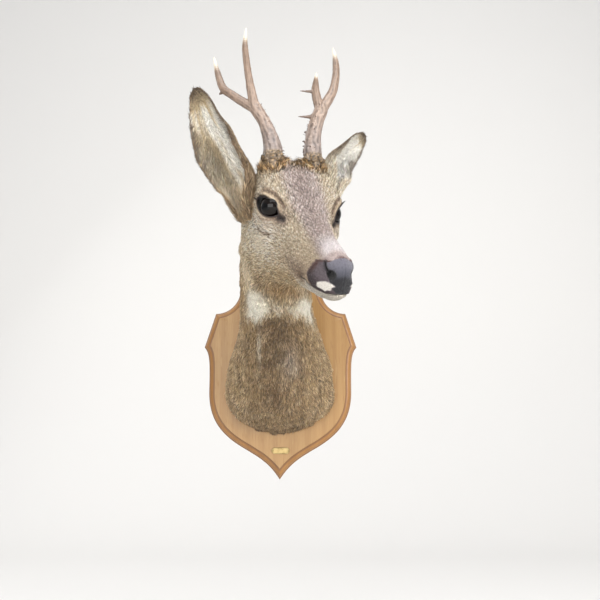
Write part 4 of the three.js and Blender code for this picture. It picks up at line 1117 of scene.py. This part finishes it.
hide_flat = hide.reshape(-1, 3)
hide_side = np.sign(into_head(hide_flat)[:, 1])
hide_eye = np.stack(eye_place(hide_flat), -1)
for side, label in SIDES:
    eye = ball_mesh(f"glass_eye_{label}", side, glass.material)
    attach(eye, "root")
    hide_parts(f"eye_{label}")
    here = hide_eye[(hide_side == side) & (np.abs(hide_eye[:, 2] - 8) < 9)]

    def height_at(x, y):
        """How far out the hide stands at places of the eye's plane: the mean of its nearest points."""
        away = (here[None, :, 0] - x[:, None]) ** 2 + (here[None, :, 1] - y[:, None]) ** 2
        return here[np.argsort(away, axis=1)[:, :5], 2].mean(1)

    share = np.linspace(0, 1, RIM_POINTS, endpoint=False)
    x, y = lid_line(share)
    outer_x, outer_y = x * 1.09 + 0.05, y * 1.09
    z = height_at(outer_x, outer_y)
    z = (np.roll(z, 1) + 2 * z + np.roll(z, -1)) / 4
    line = from_eye(x, y, z - 0.25, side)
    upper = rise(np.sin(2 * math.pi * share), -0.3, 0.4)
    rim = tube_points(line, RIM_THICKNESS * (0.85 + 0.5 * upper), RIM_SPOKES, closed=True).reshape(-1, 3)
    rim_faces = grid_faces(RIM_POINTS + 1, RIM_SPOKES) % len(rim)
    lids = mesh_piece(f"lid_rims_{label}", rim, [rim_faces], rim_skin.material)
    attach(lids, "root")
    draw = np.random.default_rng(31 + side)
    share = np.sort(draw.uniform(0.07, 0.52, LASHES_EACH))
    x, y = lid_line(share)
    roots = from_eye(x, y, height_at(x * 1.09, y * 1.09) - 0.2, side)
    lean = draw.normal(0, 0.16, (LASHES_EACH, 2))
    origin = from_eye(np.zeros(1), np.zeros(1), np.zeros(1), side)
    noseward, upward = x * 0.055 + lean[:, 0] - 0.10, 0.45 + y * 0.03 + lean[:, 1] * 0.5
    ways = from_eye(noseward, upward, np.full(LASHES_EACH, 0.85), side)
    tops = from_eye(np.zeros(1), np.ones(1), np.zeros(1), side) - origin
    lengths = draw.uniform(4.0, 6.0, LASHES_EACH) * (0.7 + 0.45 * hill(share, 0.36, 0.16))
    dark = np.full((LASHES_EACH, 3), 24.0)
    lashes = spikes(
        f"lashes_{label}", roots, unit(ways - origin), np.repeat(tops, LASHES_EACH, 0), lengths,
        np.full(LASHES_EACH, 0.5), np.full(LASHES_EACH, 0.12), dark, dark, None, lash_hair.material,
    )
    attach(lashes, "root")

# ---- The coat: winter hair in thin overlapping tufts that lie from the nose back over the head and
# down the neck to the board, short on the face and long on the neck, with pale and dark tips mixed.
HAIR = np.array([  # station, length, tufts per square millimetre, spread of the tips' lightness
    (0, 7.6, 0.77, 0.38), (3, 7.2, 0.94, 0.40), (5.2, 6.3, 1.0, 0.42), (6.5, 5.2, 1.15, 0.5),
    (8, 4.3, 1.3, 0.56), (10, 3.6, 1.55, 0.6), (12, 3.2, 1.8, 0.6), (14, 2.9, 1.9, 0.5),
    (16, 2.5, 1.9, 0.3), (17.5, 1.9, 2.0, 0.14),
    (19, 1.6, 2.0, 0.08), (21, 1.4, 1.0, 0.05),
])
COAT_PIECES = (  # name, slot, first and last station, first and last angle in degrees
    ("shoulder_right", "neck_coat", 0, 2.05, 0, 180), ("shoulder_left", "neck_coat", 0, 2.05, 180, 360),
    ("neck_right", "neck_coat", 2.05, 6.4, 0, 180), ("neck_left", "neck_coat", 2.05, 6.4, 180, 360),
    ("cheek_right", "head_coat", 6.4, 11.2, 0, 180), ("cheek_left", "head_coat", 6.4, 11.2, 180, 360),
    ("face_right", "head_coat", 11.2, 16.4, 0, 180), ("face_left", "head_coat", 11.2, 16.4, 180, 360),
    ("muzzle", "chin_coat", 16.4, LAST, 0, 360),
)
HAIR_LIFT = np.array([(0, 24), (6, 23), (9, 20), (14, 17), (17, 13), (21, 12)])  # station, degrees
LEAST_WIDTH, WIDTH_SHARE = 0.17, 0.076  # a tuft's width: the least, and what its length adds
STRAY, LIFT_SPREAD, LENGTH_SPREAD = 0.16, (0.55, 1.45), (0.72, 1.18)  # what chance does to a tuft
ROOT_SHADE = 0.80  # a root's lightness as a share of the coat's
MOST_TUFTS, LEAST_THICKNESS = 19_900, 0.05
LAYER_START, LAYER_SPAN = 0.004, 0.988  # the part of the OFBake layer that the tufts' patches fill
BOARD_CLEARANCE = -20.35  # y of the hindmost hair, just off the board
# A tuft's channels: three each for place, outward way, lie and colour, then length, width, lift, spread
# of lightness and, last, how thick the hair grows.
PLACE, OUTWARD, LIE, TINT = slice(0, 3), slice(3, 6), slice(6, 9), slice(9, 12)
MEASURES, THICKNESS = slice(12, 16), 16

fur = Finish("coat_hair", Roughness=0.66, Sheen_Weight=0.10, Sheen_Roughness=0.5, Specular_IOR_Level=0.32)
hair_dye = fur.add("ShaderNodeAttribute", {"attribute_name": "dye"}, out=0)
strand = fur.noise(fur.place((1400, 1400, 500)), 1.0, 2.0)
browned_dye = fur.mix(0.6, hair_dye, rgb(120, 100, 80), "MULTIPLY")
fur.paint(
    Base_Color=fur.mix(strand.step(0.35, 0.7) * 0.35, hair_dye, browned_dye),
    Roughness=0.58 + strand * 0.2,
)


def tuft_channels(place, outward, lie, tint, length, width, lift, spread, thickness):
    """The channels on a closed grid, whose first column is repeated at the end; the lift is in degrees."""
    measures = np.stack(np.broadcast_arrays(length, width, np.radians(lift), spread, thickness), -1)
    grid = np.concatenate([place, outward, lie, tint, measures], -1)
    return np.concatenate([grid, grid[:, :1]], axis=1)


def hair_channels():
    """The channels of the body's coat, on the skin's own grid."""
    h, m = face_masks(outside)
    forward = h[..., 0]
    length, thickness, spread = (np.interp(t_grid, HAIR[:, 0], HAIR[:, k]) for k in (1, 2, 3))
    lie = across_part(-np.gradient(hide, axis=0), hide_normals)
    sway = 0.22 * ripple(hide, 30.0, 21) + 0.16 * ripple(hide, 9.0, 22) + 0.12 * ripple(hide, 4.0, 23)
    lie = unit(lie + np.cross(hide_normals, lie) * sway[..., None])
    x, y, _ = eye_place(hide)
    from_lids = (x[..., None] * EYE_NOSEWARD + y[..., None] * EYE_UP) * np.stack(
        [np.ones_like(x), np.sign(into_head(hide)[..., 1]), np.ones_like(x)], -1)
    around_eye = hill(m["lid_gap"], 0, 5.5)[..., None]
    lie = unit(lie + across_part(from_lids @ HEAD_AXES.T, hide_normals) * around_eye * 1.2)
    length = length * (1 - 0.62 * hill(m["lid_gap"], 0, 6)) * (1 - 0.45 * m["spot"])
    length = length * (1 + 0.5 * m["below_mouth"] * rise(forward, 70, 85))
    lift = np.interp(t_grid, *HAIR_LIFT.T)
    lift = lift + 6 * ripple(hide, 7.0, 24) * (t_grid < 6.5)
    light = hide_colours.mean(-1)
    spread = spread * (1 - 0.65 * rise(light, 205, 235))
    on_bib = rise(light, 180, 225) * (t_grid < 6.3)
    length = length * (1 - 0.3 * on_bib)
    spread = spread * (1 - 0.6 * on_bib)
    lift = lift * (1 - 0.45 * on_bib)
    bare = np.maximum(m["pad"] * (1 - m["spot"]) * (1 - m["below_mouth"]), 1 - rise(m["lid_gap"], 0.5, 1.3))
    bare = np.maximum(bare, np.maximum(hill(m["slit"], 0, 1.0), rise(m["hole"], 0.15, 0.4)))
    bare = np.maximum(bare, hill(m["mouth_gap"], 0, 0.6) * rise(forward, 60, 70))
    thickness = thickness * (1 - np.clip(bare * 1.3, 0, 1))
    width = LEAST_WIDTH + WIDTH_SHARE * length
    return tuft_channels(hide, hide_normals, lie, hide_colours, length, width, lift, spread, thickness)


def scattered(channels, box, seed, most=MOST_TUFTS):
    """Draws roots inside a box of the grid (rows, columns): evenly spaced draws along the running
    sum of area times thickness, then a random place in the cell, blended from its four corners."""
    top, bottom, left, right = box
    cells = channels[top:bottom + 1, left:right + 1]
    a, b, c, d = cells[:-1, :-1], cells[:-1, 1:], cells[1:, :-1], cells[1:, 1:]
    pa, pb, pc, pd = (corner[..., PLACE] for corner in (a, b, c, d))
    area = np.linalg.norm(np.cross(pb - pa, pc - pa), axis=-1) / 2
    area += np.linalg.norm(np.cross(pb - pd, pc - pd), axis=-1) / 2
    least = np.minimum(a[..., THICKNESS], d[..., THICKNESS])
    thickness = (a[..., THICKNESS] + d[..., THICKNESS]) / 2 * (least > LEAST_THICKNESS)
    running = np.cumsum((area * thickness).ravel())
    count = min(int(running[-1]), most)
    draw = np.random.default_rng(seed)
    picks = np.searchsorted(running, (np.arange(count) + draw.uniform(0, 1, count)) / count * running[-1])
    i, j = np.unravel_index(np.minimum(picks, len(running) - 1), area.shape)
    u, v = draw.uniform(0, 1, (2, count, 1))
    rows = (a[i, j] * (1 - u) + b[i, j] * u) * (1 - v) + (c[i, j] * (1 - u) + d[i, j] * u) * v
    spot = np.stack([(j + u[:, 0]) / area.shape[1], (i + v[:, 0]) / area.shape[0]], -1)
    return rows, LAYER_START + spot * LAYER_SPAN, draw


def read_points(mesh, what="co"):
    """Each vertex's place in metres, or its normal."""
    flat = np.empty(len(mesh.vertices) * 3, np.float32)
    mesh.vertices.foreach_get(what, flat)
    return flat.reshape(-1, 3)


def grow(name, rows, patches, draw, hindmost=BOARD_CLEARANCE):
    """Turns drawn roots into tufts: each leans off the skin by its lift, strays a little, and has a
    darker root and a tip that is paler or darker by chance."""
    count = len(rows)
    roots, normals, tint = rows[:, PLACE], unit(rows[:, OUTWARD]), rows[:, TINT]
    lie = across_part(rows[:, LIE], normals)
    length, width, lift, spread = rows[:, MEASURES].T
    stray = draw.normal(0, STRAY, count)[:, None]
    lie = unit(lie + np.cross(normals, lie) * stray)
    lift = lift * draw.uniform(*LIFT_SPREAD, count)
    length = length * draw.uniform(*LENGTH_SPREAD, count)
    ways = lie * np.cos(lift)[:, None] + normals * np.sin(lift)[:, None]
    tops = unit(np.cross(ways, np.cross(normals, ways)))
    coarse = rise(length, 4, 8)
    fleck = ripple(roots, 1.9, 41) * (1 - coarse) + ripple(roots * (1, 1, 0.6), 3.2, 42) * coarse
    kind = draw.uniform(0, 1, count)
    chance = np.where(kind < 0.3, -0.9, np.where(kind > 0.68, 0.75, 0.0))
    shade = 1 + spread * (chance + 0.7 * fleck) + draw.normal(0, 0.05, count)
    warmth = 1 + draw.normal(0, 0.02, (count, 3))
    tips = tint * shade[:, None] * warmth
    tips += (tips.mean(-1, keepdims=True) - tips) * np.clip(shade - 1, 0, 0.6)[:, None] * 0.4
    droop = 0.55 * np.sin(lift)
    dark = tint * ROOT_SHADE
    piece = spikes(name, roots, ways, tops, length, width, droop, dark, tips, patches, fur.material)
    if hindmost is not None:
        points = read_points(piece.data)
        points[:, 1] = np.minimum(points[:, 1], hindmost * 0.001)
        piece.data.vertices.foreach_set("co", points.ravel())
        piece.data.update()
    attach(piece, "root")
    return piece


def nearest(values, wanted):
    """The place in a list of the value nearest to the wanted one."""
    return int(np.abs(values - wanted).argmin())


channels = hair_channels()
column_angles = np.append(np.degrees(angles), 360.0)
for number, (name, slot, first, last, low, high) in enumerate(COAT_PIECES):
    box = (
        nearest(stations, first), nearest(stations, last),
        nearest(column_angles, low), nearest(column_angles, high),
    )
    rows, patches, draw = scattered(channels, box, 100 + number)
    grow(f"coat_{name}", rows, patches, draw)

# The ears: short hair from root to tip on the back, finer and paler hair inside, and long white
# hairs that grow inwards from the edges over the hollow.
EAR_SEEDS = {"right": 201, "left": 202}
EAR_TUFTS = 10_200
for side, shell in ear_grids.items():
    rows_here, columns_here = shell.shape[:2]
    normals = grid_normals(shell)
    s, q = ear_places(columns_here)
    front = np.broadcast_to(np.arange(columns_here) < EAR_COLUMNS, s.shape)
    along = np.gradient(shell, axis=0)
    around = np.roll(shell, -1, axis=1) - np.roll(shell, 1, axis=1)
    outwards = unit(around) * np.where(front, np.sign(q), -np.sign(q))[..., None]
    wander = 0.3 * ripple(shell, 8.0, 61)[..., None]
    lie = unit(along) + np.where(front, -0.55 * np.abs(q), 0.35 * np.abs(q))[..., None] * outwards
    lie = across_part(lie + np.cross(normals, lie) * wander, normals)
    middle_row = into_head(shell[rows_here // 2, [0, EAR_COLUMNS - 1]])
    forward_edge = np.sign((middle_row[1] - middle_row[0])[0])
    long_hair = front * rise(np.abs(q), 0.25, 0.8) * rise(s, 0.04, 0.14) * (1 - rise(s, 0.5, 0.82))
    long_hair = long_hair * np.where(q * forward_edge > 0, 1.0, 0.6)
    length = np.where(front, 4.6 + 9.0 * long_hair, 5.6 * (1 - 0.35 * s) + 4.0 * (1 - rise(s, 0.1, 0.5)))
    lift = np.where(front, 15 + 16 * long_hair, 16 + 12 * (1 - rise(s, 0.1, 0.5)))
    width = np.where(front, 0.44 + 0.2 * long_hair, 0.56)
    spread, thickness = np.where(front, 0.2, 0.42), np.where(front, 1.25, 1.45)
    tint = toned(ear_tints[side], (252, 247, 236), long_hair * 0.5)
    leaf = tuft_channels(shell, normals, lie, tint, length, width, lift, spread, thickness)
    rows, patches, draw = scattered(leaf, (0, rows_here - 1, 0, columns_here), EAR_SEEDS[side], EAR_TUFTS)
    grow(f"coat_ear_{side}", rows, patches, draw, None)

# The crown: rough, upright yellow-brown hair round the foot of each antler and between the two.
CROWN_ROOTS = ((-33.0, -24.0, 46.0), (-33.6, 20.2, 46.0))
place = into_head(hide)
ring = np.zeros(place.shape[:2])
outward_way = np.zeros_like(place)
for foot in CROWN_ROOTS:
    away = place - np.array(foot)
    gap = np.linalg.norm(away * (1, 1, 0.55), axis=-1)
    share = rise(gap, 7, 9) * (1 - rise(gap, 11, 19)) * rise(place[..., 2], 24, 36)
    outward_way += unit(away * (1, 1, 0.1)) * share[..., None]
    ring = np.maximum(ring, share)
between = bell(place, (-38, -2, 46), (8, 16, 12)) * 0.7
ring = np.maximum(ring, between)
way = unit(outward_way @ HEAD_AXES.T * 0.5 + HEAD_AXES[:, 2] * 0.5 - HEAD_AXES[:, 0] * 0.25)
wild = ripple(hide, 5.0, 71)[..., None]
way = across_part(way + np.cross(hide_normals, way) * wild * 0.8, hide_normals)
tint = np.array((130.0, 98.0, 56.0)) + 34 * ripple(hide, 3.0, 72)[..., None]
tint = toned(hide_colours, tint, np.clip(ring * 1.3, 0, 1))
crown = tuft_channels(
    hide, hide_normals, way, tint,
    length=5.0 + 3.4 * ring + 1.0 * ripple(hide, 6.0, 73), width=0.72,
    lift=54 + 14 * ripple(hide, 5.0, 74), spread=0.8, thickness=ring * 2.6,
)
box = (nearest(stations, 6.6), nearest(stations, 11.0), 0, len(column_angles) - 1)
rows, patches, draw = scattered(crown, box, 301)
grow("coat_crown", rows, patches, draw, None)

# ---- The antlers: grey-brown bone, knobbed at the burr, grooved along the beam and rough with
# pearls on the inner side, the points worn smooth and ivory. Each is one solid growth.
ANTLERS = {
    "right": dict(
        beam=([(-33, -24, 47), (-39, -23.3, 57), (-47.7, -25.3, 68.4), (-56.4, -29.5, 80),
               (-65.4, -35.7, 90), (-68.5, -37.5, 94)], [10.6, 9.5, 7.8, 6.5, 6.6, 5.0]),
        top=([(-66.5, -37, 92), (-71.5, -39, 102), (-78.4, -42, 118.7), (-87, -43.7, 135.4),
              (-95, -44, 149.4), (-106.2, -41, 165.7)], [5.6, 4.9, 4.0, 3.6, 3.0, 0.7]),
        tine=([(-66, -37, 90.5), (-77.6, -46.4, 94.7), (-90, -55, 99.7), (-103, -61.7, 104.8),
               (-119, -64.5, 118.3), (-133.6, -65.8, 133.3)], [5.4, 4.8, 4.4, 4.3, 3.3, 0.7]),
        spurs=[([(-99, -60, 103), (-99.6, -63.8, 100.3), (-99.8, -66, 98)], [3.0, 1.9, 0.7])],
        inner=1),
    "left": dict(
        beam=([(-33.6, 20.2, 46.5), (-40.4, 21.2, 58), (-47, 22.8, 70.4), (-53.8, 27.7, 84),
               (-58.5, 32.7, 95), (-60.5, 34.5, 99)], [9.8, 9.0, 8.2, 7.4, 7.4, 5.6]),
        top=([(-58.8, 34, 96), (-63.6, 41.3, 105), (-71.5, 49.4, 116), (-85, 56, 130.7),
              (-98.7, 59.6, 142.3), (-114, 61.2, 156)], [5.8, 5.4, 4.7, 4.1, 3.4, 0.7]),
        tine=([(-59, 32, 96), (-61.2, 28.7, 103.3), (-63.8, 26.2, 113), (-65.2, 25.9, 121.7),
               (-67.5, 26.3, 130.8)], [5.8, 5.1, 4.4, 3.0, 0.7]),
        spurs=[([(-57, 27, 87.5), (-54.5, 18.5, 87.4), (-51.8, 5.2, 87.2)], [3.2, 1.9, 0.5]),
               ([(-64.2, 26.5, 112.5), (-62.9, 19.5, 112), (-61.6, 8.1, 111.7)], [2.8, 1.6, 0.5])],
        inner=-1),
}
BURR_RISES, BURR_SHARES, BURR_RADIUS = [-13, -4, -1.5, 1.0, 2.6], [0.7, 0.74, 0.97, 0.95, 0.7], 12.0
PEARL_COUNT, PEARL_SIZE = 170, (0.8, 2.2)
BURR_PEARLS, BURR_PEARL_SIZE = 70, (1.1, 2.1)
BONE_GRAIN = 0.0006  # metres between points of the finished bone
STEPS_PER_SPAN, STEM_SPOKES = 9, 18
BURR_LEVELS, BURR_SPOKES = 17, 60
PEARL_RINGS, PEARL_SPOKES = 5, 8
BONE_FOOT, BONE_MIDDLE, BONE_HIGH, IVORY = (142, 129, 123), (150, 131, 118), (104, 84, 68), (224, 213, 192)
BONE_CRUST, PEARL_BROWN = (128, 106, 76), (62, 46, 36)

bone = Finish("antler_bone", Roughness=0.42, IOR=1.5, Coat_Weight=0.3, Coat_Roughness=0.22)
bone_dye = bone.add("ShaderNodeAttribute", {"attribute_name": "dye"}, out=0)
polish = bone.add("ShaderNodeAttribute", {"attribute_name": "polish"}, out=2)
fissures = bone.noise(bone.place((500, 300, 110), (0.35, 0.0, 0.0)), 1.0, 4.0, 0.65)
stain = bone.noise(bone.place((120, 120, 60)), 1.0, 3.0)
shaded = bone.mix(fissures.step(0.42, 0.68) * (1 - polish) * 0.3, bone_dye, rgb(78, 60, 50))
shaded = bone.mix(stain.step(0.45, 0.75) * (1 - polish) * 0.22, shaded, rgb(176, 156, 138))
bone.paint(
    Base_Color=shaded,
    Roughness=0.4 - polish * 0.14 + fissures * 0.15,
    Normal=bone.bump(fissures, 0.0005, 0.35),
)


def closed_tube(line, radii, spokes):
    """A tube with a hub at either end: its points and its four- and three-cornered faces."""
    points = tube_points(line, radii, spokes)
    return np.vstack([points.reshape(-1, 3), line[0], line[-1]]), *closed_faces(*points.shape[:2])


def stem_line(stem, steps=STEPS_PER_SPAN):
    """A stem's middle line and radii by the cubic through its stations, in even steps."""
    line, radii = stem
    t = np.linspace(0, len(line) - 1, (len(line) - 1) * steps + 1)
    return from_head(through(line, t)), np.maximum(through(radii, t), 0.35)


def join(parts):
    """Puts (points, quads, triangles) together, the faces' numbers moved on past earlier points."""
    counts = np.cumsum([0] + [len(part[0]) for part in parts])
    return (
        np.vstack([part[0] for part in parts]),
        np.vstack([part[1] + start for part, start in zip(parts, counts)]),
        np.vstack([part[2] + start for part, start in zip(parts, counts)]),
    )


def swung(way, axis, angle):
    """A direction turned about an axis that is square to it."""
    return way * math.cos(angle) + np.cross(axis, way) * math.sin(angle)


def build_antler(name, antler, seed):
    """Tubes along the stems, a knobbed burr and pearls, grown into one solid by a remesh. The nearest
    stem then gives each point its groove, 0.42 mm times (sin(9 angle + ripple) + 1) / 2 where the bone is
    rough, its colour from foot to point, and its polish."""
    draw = np.random.default_rng(seed)
    stems = [antler["beam"], antler["top"], antler["tine"], *antler["spurs"]]
    parts = []
    for stem in stems:
        line, radii = stem_line(stem)
        parts.append(closed_tube(line, radii, STEM_SPOKES))
    foot = np.array(antler["beam"][0][0], float)
    rise_way = unit(np.array(antler["beam"][0][1], float) - foot)
    level = np.linspace(0, len(BURR_RISES) - 1, BURR_LEVELS)
    burr_line = from_head(foot + rise_way * through(BURR_RISES, level)[:, None])
    spoke = np.linspace(0, 2 * math.pi, BURR_SPOKES, endpoint=False)
    knobs = 1 + 0.085 * np.sin(11 * spoke + 2 * np.sin(3 * spoke)) + 0.05 * np.sin(23 * spoke + 1)
    burr_radii = through(BURR_SHARES, level)[:, None] * BURR_RADIUS
    burr_radii = burr_radii * (1 + (knobs - 1) * rise(burr_radii, 9.8, 12.0))
    parts.append(closed_tube(burr_line, burr_radii, BURR_SPOKES))
    line, radii = stem_line(antler["beam"], 24)
    inner = unit(HEAD_AXES @ np.array([0.45, antler["inner"], 0.0]))
    rings = np.linspace(math.pi, 0, PEARL_RINGS + 2)[1:-1]
    places = np.linspace(0, 2 * math.pi, PEARL_SPOKES, endpoint=False)
    tilt, turn = np.meshgrid(rings, places, indexing="ij")
    ball = np.stack([np.sin(tilt) * np.cos(turn), np.sin(tilt) * np.sin(turn), np.cos(tilt)], -1)
    ball = np.vstack([ball.reshape(-1, 3), (0, 0, -1), (0, 0, 1)])
    ball_faces = closed_faces(*tilt.shape)
    for k in range(PEARL_COUNT):
        share = draw.uniform(0.02, 1.0) ** 1.25 * 0.97
        at = int(share * (len(line) - 1))
        ahead = unit(line[min(at + 1, len(line) - 1)] - line[max(at - 1, 0)])
        swing = draw.normal(0, 0.62) if k % 4 else draw.uniform(-math.pi, math.pi)
        side_way = across_part(inner, ahead)
        out = swung(side_way, ahead, swing)
        strength = math.exp(-((swing / 1.0) ** 2))
        size = draw.uniform(*PEARL_SIZE) * (0.4 + 0.6 * strength) * (1.15 - 0.45 * share)
        centre = line[at] + out * radii[at] * draw.uniform(0.96, 1.06 + 0.05 * strength)
        frame_axes = np.stack([side_way, np.cross(out, side_way), out], 0)
        stretch = (size * 0.85, size * 0.85, size * draw.uniform(0.9, 1.7))
        parts.append((centre + (ball * stretch) @ frame_axes, *ball_faces))
    burr_axis = HEAD_AXES @ rise_way
    burr_way = across_part(inner, unit(burr_axis))
    for k in range(BURR_PEARLS):
        out = swung(burr_way, burr_axis, 2 * math.pi * (k + draw.uniform(-0.4, 0.4)) / BURR_PEARLS * 3)
        height = draw.uniform(-4.5, 2.4)
        centre = from_head(foot + rise_way * height) + out * draw.uniform(8.8, 10.8)
        parts.append((centre + ball * draw.uniform(*BURR_PEARL_SIZE), *ball_faces))
    points, quads_here, triangles_here = join(parts)
    rough = mesh_piece(f"{name}_rough", points, [quads_here, triangles_here], bone.material)
    remesh = rough.modifiers.new("one_growth", "REMESH")
    remesh.mode, remesh.voxel_size, remesh.use_smooth_shade = "VOXEL", BONE_GRAIN, True
    soften = rough.modifiers.new("soften", "SMOOTH")
    soften.factor, soften.iterations = 0.5, 3
    solid = bpy.data.meshes.new_from_object(rough.evaluated_get(bpy.context.evaluated_depsgraph_get()))
    bpy.data.objects.remove(rough)
    solid.name = name
    made = bpy.data.objects.new(name, solid)
    scene.collection.objects.link(made)
    points, normals = read_points(solid) * 1000.0, read_points(solid, "normal")
    best = np.full(len(points), 1e9)
    wear, root_share, turn_at, spur = (np.zeros(len(points)) for _ in range(4))
    for k, stem in enumerate(stems):
        line, radii = stem_line(stem, 8)
        away = points[:, None] - line[None]
        gap = np.linalg.norm(away, axis=-1) - radii[None]
        near = gap.argmin(1)
        gap = gap[np.arange(len(points)), near]
        nearer = gap < best
        along_share = near / (len(line) - 1)
        ahead = unit(np.gradient(line, axis=0))[near]
        out = away[np.arange(len(points)), near]
        first = across_part(np.broadcast_to(inner, ahead.shape), ahead)
        angle = np.arctan2((out * np.cross(ahead, first)).sum(-1), (out * first).sum(-1))
        best = np.where(nearer, gap, best)
        start = (0.0, 0.45, 0.45)[k] if k < 3 else 0.3
        polished = rise(along_share, 0.68, 0.97) if 0 < k < 3 else (0.2 * along_share if k else 0.0)
        wear = np.where(nearer, polished, wear)
        spur = np.where(nearer, float(k > 2), spur)
        root_share = np.where(nearer, start + (0.5 if k < 3 else 0.2) * along_share, root_share)
        turn_at = np.where(nearer, angle, turn_at)
    grooves = np.sin(9 * turn_at + 1.5 * ripple(points, 14.0, seed + 1)) * 0.5 + 0.5
    grooves = grooves * (0.6 + 0.4 * ripple(points, 6.0, seed + 2))
    scored = 0.42 * grooves * (1 - wear) * (1 - 0.7 * root_share)
    depth_here = scored + 0.10 * ripple(points, 2.2, seed + 3) * (1 - wear)
    points = points - normals * depth_here[:, None]
    write_points(solid, points)
    solid.update()
    tint = toned(np.array(BONE_FOOT), BONE_MIDDLE, rise(root_share, 0.05, 0.35))
    tint = tint + (np.array(BONE_HIGH) - tint) * rise(root_share, 0.35, 0.9)[:, None] * 0.8
    tint = tint * (1 + 0.16 * (1 - wear) - 0.42 * grooves * (1 - 0.6 * root_share))[:, None]
    knob = rise(best, 0.35, 1.2)
    tint = tint * (1 - 0.25 * rise(-best, -0.3, 0.4) * (1 - root_share))[:, None]
    tint = toned(tint, PEARL_BROWN, np.maximum(knob * 0.92, spur * 0.5))
    above_foot = (into_head(points) - foot) @ rise_way
    crust = np.array(BONE_CRUST) * (0.75 + 0.3 * ripple(points, 3.0, seed + 4))[:, None]
    tint = toned(tint, crust, (1 - rise(above_foot, 3.5, 7.0)) * 0.9)
    tint = toned(tint, IVORY, rise(wear, 0.25, 0.9))
    paint_points(made, np.clip(tint, 0, 255))
    keep_value(made, "polish", np.clip(rise(wear, 0.1, 0.8) + 0.25 * knob, 0, 1))
    return made


for side, antler in ANTLERS.items():
    growth_piece = build_antler(f"antler_{side}_bone", antler, 401 if side == "right" else 402)
    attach(growth_piece, "root")
    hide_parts(*(f"antler_{side}_{part}" for part in ("burr", "beam", "top", "tine")))
